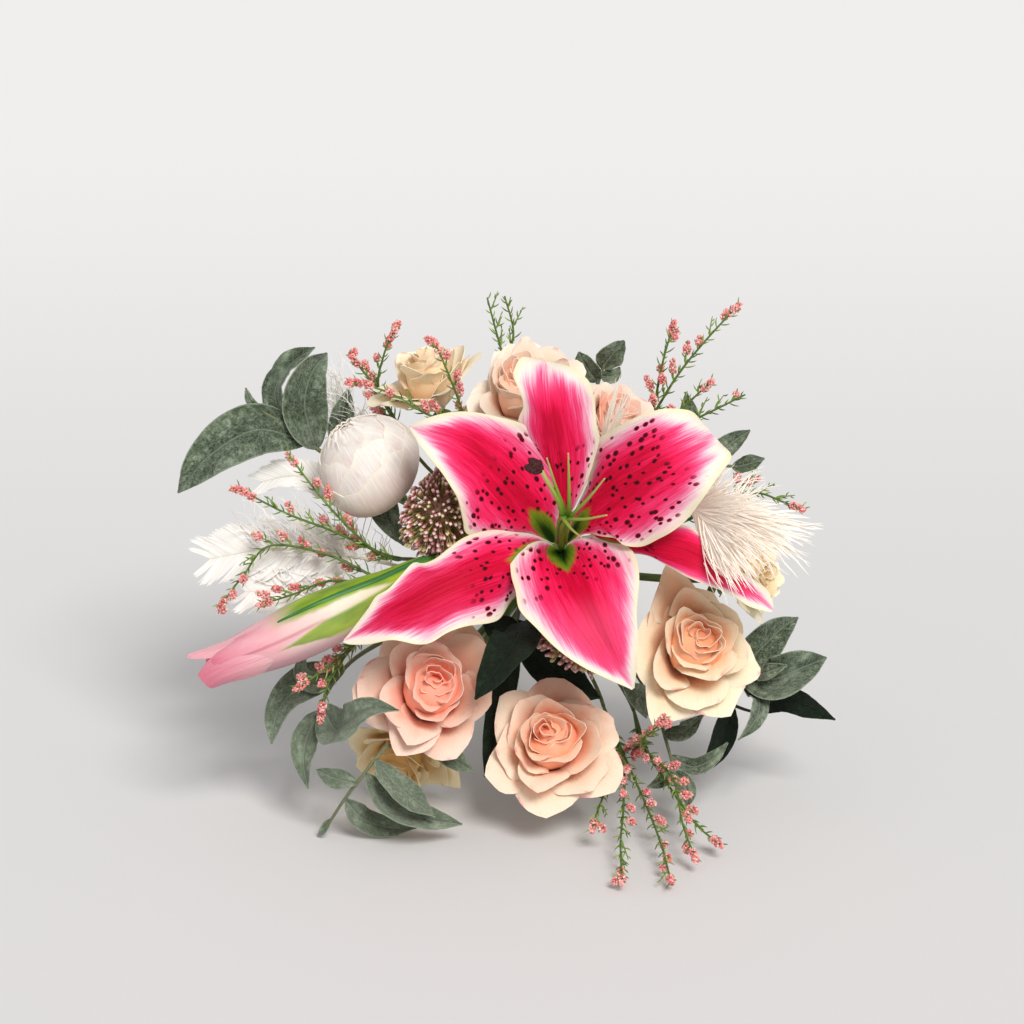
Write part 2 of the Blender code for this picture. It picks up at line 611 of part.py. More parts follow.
def rose_bloom(name, seed):
    """Petals in layers round a rolled heart, all grown from one hub."""
    chance = np.random.default_rng(seed)
    size = BLOOMS[name][2]
    heart = turned(size, [(0.12, 0.0), (0.3, 0.5), (0.22, 1.16), (0.1, 1.0)], 6)
    grids = [placed(name, heart)]
    turn = chance.uniform(0, 360)
    for layer in ROSE_LAYERS:
        for _ in range(layer[0]):
            turn += 360 / layer[0] + chance.uniform(-6, 6)
            height = layer[4] + chance.uniform(-0.03, 0.03)
            rows = 4 if layer is ROSE_LAYERS[-1] else 3
            grids.append(placed(name, petal_grid(size, turn, layer, height, rows, 4, -0.055)))
        turn += 180 / layer[0] + 15
    grids = pressed(name, grids)
    petals = [blade(f"{name}_petal_{i}", g, PETAL) for i, g in enumerate(grids[1:])]
    return fuse(name, finished(name + "_heart", loft(grids[0])[0]), petals)


def peony_bloom(name):
    """A closed ball of broad cupped petals."""
    size = BLOOMS[name][2]
    core = turned(size, [(0.13, 0.0), (0.5, 0.12), (0.72, 0.45), (0.62, 0.9), (0.3, 1.22)], 8)
    grids = [placed(name, core)]
    for k in range(6):
        outer = k % 2
        rim = 0.86 + 0.12 * outer
        along = np.linspace(0, 1, 4)[:, None]
        across = np.linspace(-1, 1, 4)[None, :]
        angle = math.radians(60 * k + 10) + math.radians(38) * across
        arc = along * (2.25 - 0.35 * outer - 0.2 * across**2)
        radius = 0.06 + rim * np.sin(arc)
        rise = 0.68 - rim * 0.86 * np.cos(arc)
        grid = size * np.stack([radius * np.cos(angle), radius * np.sin(angle), np.maximum(rise, 0.02)], axis=-1)
        grids.append(placed(name, grid))
    grids = pressed(name, grids)
    petals = [blade(f"{name}_petal_{i}", g, PETAL) for i, g in enumerate(grids[1:])]
    return fuse(name, finished(name + "_core", loft(grids[0])[0]), petals)


def allium_head(name):
    """A ball of florets, each drawn out of one face of a smaller round core."""
    size = BLOOMS[name][2]
    shape = bmesh.new()
    bmesh.ops.create_icosphere(shape, subdivisions=2, radius=HUB_DEPTH)
    grown = [face for face in shape.faces if face.calc_center_median().z > -0.5]
    grown = bmesh.ops.extrude_discrete_faces(shape, faces=grown)["faces"]
    for face in grown:
        centre = face.calc_center_median()
        for vertex in face.verts:
            vertex.co = centre.normalized() * 0.84 + (vertex.co - centre) * 0.72
    for k, tip in enumerate(bmesh.ops.poke(shape, faces=grown)["verts"]):
        tip.co = tip.co.normalized() * (0.93 + 0.035 * (k % 3))
    points = np.array([vertex.co for vertex in shape.verts]) + (0, 0, HUB_DEPTH)
    points = pressed(name, [placed(name, points * size)])[0]
    for vertex, point in zip(shape.verts, points):
        vertex.co = point * MM
    return finished(name, shape)


# Stems from the handle

SLOTS = {}


def top_of(name):
    """The point that a stem goes to."""
    if name == "lily_stem":
        return as_vector(LILY_HUB)
    if name == "lily_bud":
        return as_vector(BUD_AXIS[0])
    if name in BLOOMS:
        return hub_point(name)
    if name in FEATHERS:
        return as_vector(FEATHERS[name][0][0])
    if name in HEATHER:
        return as_vector(HEATHER[name][0])
    return as_vector({**SAGE, **DARK_LEAVES}[name][0][0])


def stem_radius(name):
    """The half thickness of a stem or wire."""
    if name in ("lily_stem", "lily_bud"):
        return LILY_STEM
    if name in BLOOMS:
        return ROSE_STEM
    return LEAF_STEM if name in SAGE or name in DARK_LEAVES else WIRE_STEM


def fill_slots():
    """Gives each stem its place in the handle: under what it carries, and lying against the stems already there."""
    edge = SLEEVE_BORE * math.cos(math.pi / SLEEVE_SIDES) - 0.3
    for ring, (names, spacing) in enumerate(zip(STEMS_BY_RING, RING_SPACING)):
        turns = {name: math.atan2(*top_of(name)[1::-1]) for name in names}
        order = sorted(names, key=turns.get)
        places = np.array([turns[name] for name in order])
        for _ in range(400):
            gaps = np.roll(places, -1) - places
            gaps[-1] += 2 * math.pi
            push = np.clip(math.radians(spacing) - gaps, 0, None) / 2
            places += np.roll(push, 1) - push
        held = dict(SLOTS)
        for name, place in zip(order, places):
            way = np.array([math.cos(place), math.sin(place)])
            own = stem_radius(name)
            radius = edge - own if ring == 3 else 3.0 * ring
            while any(
                math.dist(way * radius, spot) < own + stem_radius(other) + JOINT_GAP for other, spot in held.items()
            ):
                radius += 0.05
            SLOTS[name] = tuple(way * radius)


def stem_route(name, top, direction, count=5):
    """From the cut end straight up the handle, then out to the top, arriving along the direction given."""
    x, y = SLOTS[name][:2]
    low = np.array([x, y, STEM_ENDS + 1.5 * (list(SLOTS).index(name) % 3)])
    neck = np.array([x, y, NECK])
    top = as_vector(top)
    pull = np.linalg.norm(top - neck)
    first = neck + np.array([x * 0.35, y * 0.35, 0.22 * pull]) + STEM_BENDS.get(name, (0, 0, 0))
    last = top - unit(direction) * 0.3 * pull
    t = np.linspace(0, 1, count)[:, None]
    bend = (1 - t) ** 3 * neck + 3 * t * (1 - t) ** 2 * first + 3 * t**2 * (1 - t) * last + t**3 * top
    return np.vstack([low, bend])


def bloom_stem(name):
    """A stem that swells to a hip under its bloom; a rose's hip has five sepals bent back."""
    _, facing, size = BLOOMS[name]
    facing = unit(facing)
    top = hub_point(name) - facing * JOINT_GAP
    route = stem_route(name, top - facing * 10, facing, 6)
    hip = [top - facing * back for back in (6.5, 3.6, 2.3, 0)]
    radii = [ROSE_STEM] * 7 + [0.14 * size, 0.18 * size, 0.17 * size, 0.11 * size]
    shape, rows = loft(rings_along(np.vstack([route, hip]), radii, 5))
    if name in ROSES:
        for face in rows[-2]:
            face.normal_update()
            out = as_vector(face.normal)
            grow_needle(shape, face, out * 0.38 * size - facing * 4.5)
    return finished(name + "_stem", shape)


def tepal_grid(midrib, left, right, left_lift, right_lift):
    """A tepal's middle surface, spun between its midrib and its two outlines."""
    rows = 7
    spine = smooth_path(midrib, rows)
    along = np.linspace(0, 1, rows)
    sides = []
    for outline, lifts in ((left, left_lift), (right, right_lift)):
        edge = smooth_path(outline, rows)
        edge = np.column_stack([edge, spine[:, 2] + np.interp(along, np.linspace(0, 1, 5), lifts)])
        gap = edge - spine
        wide = np.linalg.norm(gap, axis=1, keepdims=True)
        sides.append(spine + gap * np.maximum(wide, TEPAL_TIP) / np.maximum(wide, 1e-6))
    between = []
    for edge in sides:
        gap = edge - spine
        between.append(spine + 0.5 * gap * (1, 1, 0) + 0.35 * gap * (0, 0, 1))
    columns = [sides[0], between[0], spine, between[1], sides[1]]
    if max(np.linalg.norm(sides[0] - sides[1], axis=1)) < 42:
        columns = columns[::2]
    return np.stack(columns, axis=1)


def lily_tepals():
    """Six tepals grown from one short funnel."""
    funnel = turned(1, [(3.4, -4), (4.6, -1), (5.6, 3.5)], 8) + as_vector(LILY_HUB)
    pieces = [blade("tepal_" + name, tepal_grid(*outline), TEPAL) for name, outline in TEPALS.items()]
    return fuse("lily_tepals", finished("funnel", loft(funnel)[0]), pieces)


def lily_stamens():
    """The column, five filaments and the pistil with its swollen stigma."""
    column = tube("column", smooth_path(COLUMN, 4), [1.3, 2.6, 2.2, 1.2], 6)
    foot = as_vector(COLUMN[-1])
    bend = as_vector(COLUMN[1])
    pieces = []
    for k, tip in enumerate(FILAMENT_TIPS):
        path = smooth_path([bend, foot + (as_vector(tip) - foot) * 0.12 + (0, 0, 2), tip], 4)
        pieces.append(tube(f"filament_{k}", path, [0.8, 0.8, 0.7, 0.45], 4))
    tip = as_vector(PISTIL_TIP)
    path = np.vstack([smooth_path([bend, foot + (-2, 4, 4), tip], 4), tip + (-2, 1, 1), tip + (-5, 2.5, 2)])
    pieces.append(finished("pistil", loft(rings_along(path, [0.8, 1.1, 1.1, 1.1, 3.2, 2.2], 5))[0]))
    return fuse("lily_stamens", column, pieces)


def lily_bud():
    """The closed bud on its bent stem: three ribs, and two lips parting at the tip."""
    body = smooth_path(BUD_AXIS, 7)
    radii = np.interp(np.linspace(0, 1, 7), np.linspace(0, 1, 6), BUD_RADII)
    direction = as_vector(BUD_AXIS[1]) - as_vector(BUD_AXIS[0])
    route = stem_route("lily_bud", BUD_AXIS[0], direction + (10, 0, 14), 7)
    path = np.vstack([route[:-1], body])
    rings = rings_along(path, [LILY_STEM] * (len(route) - 1) + list(radii), 6, 0.08)
    end = as_vector(BUD_AXIS[-1])
    lips = []
    for name, (tip, width) in BUD_LIPS.items():
        away = unit(as_vector(tip) - end)
        midrib = [end + away * 3.5 + (21, 9.5, -0.5), end + away * 6.2 + (6, 2.5, 0), tip]
        face = np.cross(np.cross((-0.9, -0.4, 0), away), (-0.9, -0.4, 0))
        lips.append(blade("lip_" + name, blade_grid(midrib, width, face, 4, 3, 0.5, 0.5, -0.3), TEPAL))
    return fuse("lily_bud", finished("bud", loft(rings)[0]), lips)


def leafy_stem(name, twig, leaves):
    """A twig on its wire, with leaves whose roots are sunk in it."""
    route = stem_route(name, twig[0], as_vector(twig[1]) - as_vector(twig[0]), 4)
    path = np.vstack([route, smooth_path(twig, 4)[1:]])
    radii = [LEAF_STEM] * (len(path) - 2) + [LEAF_STEM * 0.85, LEAF_STEM * 0.6]
    pieces = []
    for k, (midrib, width, face) in enumerate(leaves):
        rows = 3 if width < 9 else 4 if width < 19 else 5
        grid = blade_grid(midrib, width, face, rows, 3, 0.5, 0.75, 0.16, 0.05, seed=k)
        pieces.append(blade(f"{name}_leaf_{k}", grid, LEAF))
    return fuse(name, tube(name + "_twig", path, radii, 4), pieces)


def heather_branch(name, route, branch, chance):
    """A three-sided branch with whorls of needles and a cluster of florets."""
    wire = len(route)
    stations = max(3, round(np.linalg.norm(np.diff(branch, axis=0), axis=1).sum() / 24))
    fine = smooth_path(branch, 40)
    path, radii, whorls = list(route), [WIRE_STEM] * wire, []
    for k in range(stations):
        at = (0.4 + 0.6 * k / (stations - 1)) * 36
        step = 1.1 / np.linalg.norm(fine[1] - fine[0])
        whorls.append(len(path))
        for spot in (at, at + step):
            path.append(np.array([np.interp(spot, np.arange(40), fine[:, axis]) for axis in range(3)]))
            radii.append(0.85 - 0.3 * k / stations)
    if not wire:
        path.insert(0, fine[0])
        radii.insert(0, 0.85)
        whorls = [index + 1 for index in whorls]
    shape, rows = loft(rings_along(path, radii, 3))
    for k, index in enumerate(whorls):
        tangent = unit(path[index + 1] - path[index])
        for j, face in enumerate(rows[index]):
            face.normal_update()
            out = as_vector(face.normal)
            if (k + j) % 3 == 0:
                grow_bud(shape, face, (out * 0.85 + tangent * 0.6) * 5.5, 1.9)
            else:
                grow_needle(shape, face, (out * 0.8 + tangent * 0.7) * chance.uniform(6, 7.5))
    return finished(name, shape)


def heather_spray(name, seed):
    """Thin green branches from one wire, with stiff needles and clusters of tiny florets."""
    chance = np.random.default_rng(seed)
    root, branches = HEATHER[name]
    toward = as_vector(branches[0][0]) - as_vector(root)
    route = stem_route(name, root, toward, 4)
    main = heather_branch(name + "_main", route, as_vector([root, *branches[0]]), chance)
    pieces = []
    for k, branch in enumerate(branches[1:]):
        pieces.append(heather_branch(f"{name}_branch_{k}", [], as_vector([root, *branch]), chance))
    return fuse(name, main, pieces)


def feather(name):
    """A quill with a vane whose edges part into barbs."""
    quill, half, face = FEATHERS[name]
    rows = 9
    grid = blade_grid(quill, 2 * half, face, rows, 3, 0.62, 0.4, 0.10, 0.04, seed=5, foot=1.2)
    forward = np.gradient(grid[:, 1], axis=0)
    for i in range(1, rows - 1):
        swept = 0.85 if i % 2 else 0.1
        for column in (0, 2):
            grid[i, column] += forward[i] * swept
            if not i % 2:
                grid[i, column] += (grid[i, 1] - grid[i, column]) * 0.3
    grid[0, :] = grid[0, 1] + (grid[0, :] - grid[0, 1]) * 0.5
    route = stem_route(name, quill[0], as_vector(quill[1]) - as_vector(quill[0]), 5)
    shaft = np.vstack([route, smooth_path(quill, 9)[1]])
    return fuse(name, tube(name + "_shaft", shaft, WIRE_STEM, 4), [blade(name + "_vane", grid, 0.7)])


def wound_band(name, top, bottom, wall, turns):
    """A wound band: a turned sleeve whose outside steps in a little at each turn of the winding."""
    outside = []
    for height in np.linspace(top, bottom, turns + 1)[:-1]:
        drop = (bottom - top) / turns
        outside += [(SLEEVE_BORE + wall, height), (SLEEVE_BORE + 0.65 * wall, height + drop * 0.97)]
    outside[-1] = (outside[-1][0], bottom)
    profile = outside + [(SLEEVE_BORE, bottom), (SLEEVE_BORE, top)]
    shape = bmesh.new()
    points = [shape.verts.new((radius * MM, 0, height * MM)) for radius, height in profile]
    for k, point in enumerate(points):
        shape.edges.new((point, points[k - len(points) + 1]))
    made = finished(name, shape)
    turn = made.modifiers.new("turn", "SCREW")
    turn.axis = "Z"
    turn.angle = 2 * math.pi
    turn.steps = SLEEVE_SIDES
    turn.render_steps = SLEEVE_SIDES
    turn.use_merge_vertices = True
    turn.merge_threshold = 0.0001
    return baked(made)


def build():
    for made in list(bpy.data.objects):
        bpy.data.objects.remove(made)
    green = material("green_stem", (0.16, 0.26, 0.07), 0.55)
    sage = material("sage_leaf", (0.30, 0.39, 0.30), 0.85)
    dark = material("dark_leaf", (0.03, 0.07, 0.03), 0.35)
    lily_pink = material("lily_petal", (0.80, 0.12, 0.26), 0.45)
    peach = material("peach_petal", (0.90, 0.62, 0.48), 0.6)
    cream = material("cream_petal", (0.91, 0.82, 0.62), 0.6)
    blush = material("blush_petal", (0.92, 0.84, 0.80), 0.8)
    mauve = material("allium_floret", (0.55, 0.32, 0.33), 0.6)
    feather_white = material("feather_down", (0.90, 0.89, 0.85), 0.9)
    satin = material("satin_ribbon", (0.90, 0.86, 0.80), 0.35)
    binding = material("stem_tape", (0.20, 0.30, 0.14), 0.7)

    fill_slots()
    nodes = [(lily_tepals(), lily_pink), (rounded(lily_stamens()), green), (rounded(lily_bud()), green)]
    seat = as_vector(LILY_HUB) - (0, 0, 4 + JOINT_GAP)
    nodes.append((rounded(tube("lily_stem", stem_route("lily_stem", seat, (0.1, 0.1, 1)), LILY_STEM)), green))
    creams = ("rose_upper_left", "rose_far_right", "rose_lower_left", "rose_right")
    for k, name in enumerate(ROSES):
        nodes.append((rose_bloom(name, 11 + k), cream if name in creams else peach))
    nodes.append((peony_bloom("peony"), blush))
    for name in ("allium_left", "allium_front"):
        nodes.append((allium_head(name), mauve))
    for name in BLOOMS:
        nodes.append((rounded(bloom_stem(name)), green))
    for name, (twig, leaves) in SAGE.items():
        nodes.append((leafy_stem(name, twig, leaves), sage))
    for name, (twig, leaves) in DARK_LEAVES.items():
        nodes.append((leafy_stem(name, twig, leaves), dark))
    for k, name in enumerate(HEATHER):
        nodes.append((heather_spray(name, 40 + k), green))
    for name in FEATHERS:
        nodes.append((feather(name), feather_white))
    nodes.append((rounded(wound_band("handle_ribbon", RIBBON_TOP, RIBBON_BOTTOM, RIBBON_WALL, 7)), satin))
    nodes.append((rounded(wound_band("stem_tape", TAPE_TOP, TAPE_BOTTOM, TAPE_WALL, 1)), binding))

    axis = linked("bouquet_axis", None)
    axis.rotation_euler = (math.radians(90 - LEAN), 0, 0)
    axis.location = (REST_SIDE * MM, REST_SHIFT * MM, REST_HEIGHT * MM)
    bouquet = bpy.data.collections.new("bridal_bouquet")
    bpy.context.scene.collection.children.link(bouquet)
    for made, look in nodes:
        made.data.materials.clear()
        made.data.materials.append(look)
        made.parent = axis
        bouquet.objects.link(made)
        bpy.context.scene.collection.objects.unlink(made)


build()
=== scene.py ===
import math

import bpy
import numpy as np
from mathutils import Matrix, Vector


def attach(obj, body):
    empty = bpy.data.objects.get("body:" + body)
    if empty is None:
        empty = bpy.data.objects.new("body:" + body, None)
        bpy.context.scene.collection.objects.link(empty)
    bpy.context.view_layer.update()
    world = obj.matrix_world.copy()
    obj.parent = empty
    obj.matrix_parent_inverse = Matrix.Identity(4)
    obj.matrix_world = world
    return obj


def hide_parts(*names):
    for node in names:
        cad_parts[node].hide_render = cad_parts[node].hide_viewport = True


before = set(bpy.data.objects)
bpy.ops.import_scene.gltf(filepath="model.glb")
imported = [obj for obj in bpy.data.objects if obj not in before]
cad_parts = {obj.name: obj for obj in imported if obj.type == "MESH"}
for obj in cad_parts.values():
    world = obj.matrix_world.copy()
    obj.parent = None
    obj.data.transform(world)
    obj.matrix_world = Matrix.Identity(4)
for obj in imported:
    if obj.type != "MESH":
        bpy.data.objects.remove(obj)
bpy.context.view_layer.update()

# The table and the light.
# The bunch lies on its side on a wide, pale, matt table. Its handle rises 20 degrees, so the flowers look up
# at the camera. One broad soft lamp stands far off at the upper right, and the room adds an even glow.
MM = 0.001
LEAN = math.radians(20.0)
BUNCH_AXES = np.array([[1, 0, 0], [0, math.sin(LEAN), math.cos(LEAN)], [0, -math.cos(LEAN), math.sin(LEAN)]])
BUNCH_PLACE = np.array([14.63, -82.77, 109.40])
FACE_MIDDLE = np.array([-12.6, 28.35, 30.0])
CAMERA_AWAY = 2000.0
FACE_SEEN = 460.8  # millimetres of the flowers' face across the picture
LAMP_SIDE = (0.35, 0.60, 1.25)  # the way to the lamp, in the bunch's own frame
LAMP_POWER = 2.45
ROOM_GLOW = 0.50


def laid(points):
    """Turns points of the bunch's own frame, in millimetres with z along the handle, into metres."""
    return (np.asarray(points, float) @ BUNCH_AXES + BUNCH_PLACE) * MM


class Finish:
    """A surface finish in the making: its nodes end in one shader."""

    def __init__(self, name):
        self.material = bpy.data.materials.new(name)
        self.material.use_nodes = True
        self.tree = self.material.node_tree
        self.shader = self.tree.nodes["Principled BSDF"]

    def feed(self, socket, value):
        if isinstance(value, bpy.types.NodeSocket):
            self.tree.links.new(value, socket)
        else:
            socket.default_value = value

    def add(self, kind, values=(), **settings):
        made = self.tree.nodes.new("ShaderNode" + kind)
        for key, value in settings.items():
            setattr(made, key, value)
        for key, value in dict(values).items():
            self.feed(made.inputs[key], value)
        return made.outputs

    def marks(self, name):
        """The three numbers that a piece's points carry under that name."""
        return self.add("SeparateXYZ", {"Vector": self.add("Attribute", attribute_name=name)["Vector"]})

    def lay(self, x=1.0, y=1.0, z=1.0):
        """Millimetres across and along the piece laid flat, stretched for a grain."""
        flat = self.add("Attribute", attribute_name="lay")["Vector"]
        return self.add("VectorMath", {0: flat, 1: (x, y, z)}, operation="MULTIPLY")[0]

    def toward(self, way, centre):
        """How far a point lies from the centre along a way of the bunch's own frame, in millimetres."""
        way = unit(way)
        turned = way @ BUNCH_AXES
        place = self.add("TexCoord")["Object"]
        along = self.add("VectorMath", {0: place, 1: tuple(turned / MM)}, operation="DOT_PRODUCT")["Value"]
        return self.maths("SUBTRACT", along, float(turned @ BUNCH_PLACE + way @ np.array(centre)))

    def maths(self, operation, *values):
        return self.add("Math", enumerate(values), operation=operation)[0]

    def plus(self, first, second):
        return self.maths("ADD", first, second)

    def less(self, first, second):
        return self.maths("SUBTRACT", first, second)

    def times(self, first, second):
        return self.maths("MULTIPLY", first, second)

    def size(self, number):
        return self.maths("ABSOLUTE", number)

    def noise(self, vector, scale=1.0, detail=3.0, rough=0.55):
        values = {"Vector": vector, "Scale": scale, "Detail": detail, "Roughness": rough}
        return self.add("TexNoise", values)["Fac"]

    def step(self, value, low, high):
        """Rises softly from 0 at low to 1 at high."""
        values = {"Value": value, "From Min": low, "From Max": high}
        return self.add("MapRange", values, interpolation_type="SMOOTHSTEP")["Result"]

    def ramp(self, factor, *stops):
        colour = self.add("ValToRGB", {"Fac": factor})["Color"]
        band = colour.node.color_ramp
        band.elements[0].position = stops[0][0]
        band.elements[1].position = stops[-1][0]
        for place, _ in stops[1:-1]:
            band.elements.new(place)
        for element, (_, shade) in zip(band.elements, stops):
            element.color = shade
        return colour

    def mixed(self, share, first, second):
        return self.add("MixRGB", {"Fac": share, "Color1": first, "Color2": second})["Color"]

    def wash(self, colour, share, depth, second):
        """The second colour laid thinly over the first: as deep as given where the share is 1."""
        return self.mixed(self.times(share, depth), colour, second)

    def done(self, colour, roughness, height=None, depth=0.3, through=(), **sockets):
        """Fills the shader's sockets. depth is how deep the bump is, in millimetres.

        through is how much light passes into the cloth, how far in metres, and the scale of that."""
        self.feed(self.shader.inputs["Base Color"], colour)
        self.feed(self.shader.inputs["Roughness"], roughness)
        if height is not None:
            normal = self.add("Bump", {"Height": height, "Distance": depth * MM, "Strength": 0.8})["Normal"]
            self.feed(self.shader.inputs["Normal"], normal)
        for key, value in (*zip(("Subsurface_Weight", "Subsurface_Radius", "Subsurface_Scale"), through),
                           *sockets.items()):
            self.shader.inputs[key.replace("_", " ")].default_value = value
        return self.material


def tone(red, green, blue):
    """A colour as the eye names it, from 0 to 255, for a shader."""
    return (*(((v / 255 + 0.055) / 1.055) ** 2.4 for v in (red, green, blue)), 1.0)


def table_finish():
    make = Finish("table_paper")
    place = make.add("TexCoord")["Object"]
    fibre = make.noise(place, 900.0, 2.0)
    # painted shade and light: the paper is painted a little greyer round the bunch and lighter far behind it
    far = make.add("SeparateXYZ", {"Vector": place})["Y"]
    colour = make.ramp(make.step(far, 0.1, 1.1), (0.0, tone(222, 221, 221)), (1.0, tone(238, 238, 238)))
    return make.done(colour, 0.85, fibre, 0.02, Specular_IOR_Level=0.15)


camera = bpy.data.objects.new("camera", bpy.data.cameras.new("camera"))
camera.data.sensor_width = 36.0
camera.data.lens = 36.0 * CAMERA_AWAY / FACE_SEEN
camera_place = Matrix.Translation(laid(FACE_MIDDLE + (0, 0, CAMERA_AWAY)))
camera.matrix_world = camera_place @ Matrix(BUNCH_AXES.T).to_4x4()
bpy.context.scene.collection.objects.link(camera)
bpy.context.scene.camera = camera
bpy.context.scene.view_settings.view_transform = "Standard"

lamp = bpy.data.objects.new("lamp", bpy.data.lights.new("lamp", "SUN"))
lamp.data.energy = LAMP_POWER
lamp.data.angle = math.radians(22.0)
lamp.data.color = (1.0, 0.985, 0.96)
lamp.rotation_euler = Vector(np.array(LAMP_SIDE) @ BUNCH_AXES).to_track_quat("Z", "Y").to_euler()
bpy.context.scene.collection.objects.link(lamp)

room = bpy.data.worlds.new("room")
room.use_nodes = True
room.node_tree.nodes["Background"].inputs["Color"].default_value = (0.975, 0.97, 0.98, 1.0)
room.node_tree.nodes["Background"].inputs["Strength"].default_value = ROOM_GLOW
bpy.context.scene.world = room

TABLE_HALF = 15.0
table_mesh = bpy.data.meshes.new("table")
corners = [(x * TABLE_HALF, y * TABLE_HALF, -0.0005) for x, y in ((-1, -1), (1, -1), (1, 1), (-1, 1))]
table_mesh.from_pydata(corners, [], [(0, 1, 2, 3)])
table_mesh.materials.append(table_finish())
table = bpy.data.objects.new("table", table_mesh)
bpy.context.scene.collection.objects.link(table)

# The flower stems in the hand.
# Thirteen thick stems and twenty-five wires stand side by side in the handle, then fan out. Each is moulded
# green over a wire. It widens to a hip under its bloom, and a rose's hip has five sepals that bend back.
NECK = -111.0
STEM_ENDS = -283.2
JOINT_GAP = 0.35
# radii: a bloom's stem, a heather or feather wire, a leafy twig's wire, the stems of the lily and its bud
ROSE_STEM, WIRE_STEM, LEAF_STEM, LILY_STEM = 1.9, 0.9, 1.3, 2.2
HUB_DEPTH = 0.62  # a bloom's foot lies this share of its radius behind its centre
# Each stem's place in the handle, from its axis
IN_HAND = {
    "lily_stem": (0.00, 0.00),
    "dark_leaf_centre": (-3.87, -0.51),
    "rose_left": (-2.08, -3.99),
    "rose_front": (2.08, -3.99),
    "allium_front": (4.46, -0.59),
    "rose_top": (0.97, 4.39),
    "allium_left": (-3.04, 3.32),
    "rose_lower_left": (-5.30, -6.65),
    "rose_right": (6.71, -4.08),
    "rose_far_right": (8.64, -0.50),
    "feather_right": (5.45, 2.50),
    "rose_upper_right": (3.90, 7.38),
    "heather_upper_left": (-0.02, 7.40),
    "rose_upper_left": (-3.97, 7.40),
    "peony": (-6.98, 4.68),
    "lily_bud": (-7.51, 0.77),
    "heather_left_upper": (-5.70, -2.32),
    "heather_left_lower": (-12.65, -1.52),
    "feather_left_low": (-11.83, -4.74),
    "heather_lower_left": (-10.20, -7.64),
    "sage_left": (-7.63, -9.70),
    "sage_low_front": (-4.85, -11.35),
    "heather_bottom": (2.82, -12.43),
    "heather_low_right": (5.94, -11.27),
    "sage_low_right": (8.38, -9.06),
    "dark_leaf_right": (10.44, -6.58),
    "sage_lower_right": (11.79, -3.65),
    "heather_right": (12.01, 4.26),
    "sage_right": (9.99, 7.24),
    "heather_upper_right": (8.03, 9.89),
    "feather_top": (5.20, 11.63),
    "sage_top": (1.94, 12.19),
    "heather_top": (-1.52, 12.65),
    "heather_top_left": (-4.74, 11.83),
    "feather_upper_left": (-7.64, 10.20),
    "sage_upper_left": (-9.70, 7.63),
    "feather_left_vane": (-11.71, 5.01),
    "feather_left_long": (-12.61, 1.81),
}
# Extra pull, where a stem would run into its neighbour
STEM_BENDS = {
    "feather_left_long": (0, -6, 0),
    "rose_far_right": (0, 5, 0),
    "feather_upper_left": (0, 6, 0),
    "rose_front": (3, 0, 4),
    "feather_right": (0, 4, 4),
    "heather_left_upper": (-4, -2, 0),
    "rose_lower_left": (-3, -4, 0),
}
# Round blooms: centre, the way they face, radius
BLOOMS = {
    "rose_front": ((5.5, -74.5, 22), (0.0, 0.28, 0.96), 32),
    "rose_left": ((-49, -53, 25), (0.08, 0.22, 0.97), 31),
    "rose_right": ((69, -31.5, 22), (0.12, 0.18, 0.97), 33),
    "rose_top": ((-8, 84, 16), (-0.08, 0.62, 0.78), 31),
    "rose_upper_left": ((-49.5, 90, 2), (-0.25, 0.9, 0.32), 27),
    "rose_upper_right": ((33, 71, 6), (0.35, 0.6, 0.72), 23),
    "rose_far_right": ((95, -1, 6), (0.8, 0.05, 0.6), 24),
    "rose_lower_left": ((-65, -86.5, -16), (-0.3, -0.72, 0.62), 23),
    "peony": ((-76, 49, 20), (-0.3, 0.35, 0.89), 25),
    "allium_left": ((-45, 29, 30), (-0.25, 0.2, 0.95), 21),
    "allium_front": ((22.5, -22, 15), (0.15, -0.3, 0.94), 27.5),
}


def unit(values):
    values = np.asarray(values, float)
    return values / np.maximum(np.linalg.norm(values, axis=-1, keepdims=True), 1e-9)


def places_on(path, along, wanted):
    """Points of a path at the wanted lengths, or at any other measure that is known along it."""
    return np.stack([np.interp(wanted, along, path[:, k]) for k in range(path.shape[1])], axis=1)


def smooth_path(points, count):
    """Points evenly spread on a rounded curve through the given ones."""
    points = np.asarray(points, float)
    ends = np.vstack([2 * points[0] - points[1], points, 2 * points[-1] - points[-2]])
    fine = []
    for a, b, c, d in zip(ends, ends[1:], ends[2:], ends[3:]):
        for t in np.linspace(0, 1, 16, endpoint=False):
            bend = (2 * a - 5 * b + 4 * c - d) * t**2 + (3 * b - a - 3 * c + d) * t**3
            fine.append(0.5 * (2 * b + (c - a) * t + bend))
    fine = np.array(fine + [points[-1]])
    along = np.concatenate([[0], np.cumsum(np.linalg.norm(np.diff(fine, axis=0), axis=1))])
    return places_on(fine, along, np.linspace(0, along[-1], count))


def stem_route(name, top, direction, count=18):
    """From the cut end straight up the handle, then out to the top, arriving along the direction given."""
    x, y = IN_HAND[name]
    end = STEM_ENDS + 1.5 * (list(IN_HAND).index(name) % 3)
    straight = np.linspace((x, y, end), (x, y, NECK), 8)[:-1]
    top = np.asarray(top, float)
    pull = math.dist(top, (x, y, NECK))
    first = np.array([x * 1.35, y * 1.35, NECK + 0.22 * pull]) + STEM_BENDS.get(name, (0, 0, 0))
    last = top - unit(direction) * 0.3 * pull
    t = np.linspace(0, 1, count)[:, None]
    neck = np.array([x, y, NECK])
    bend = (1 - t) ** 3 * neck + 3 * t * (1 - t) ** 2 * first + 3 * t**2 * (1 - t) * last + t**3 * top
    return np.vstack([straight, bend])


# a way that no stem, needle or branch runs along
OFF_AXIS = (0.31, 0.95, 0.07)
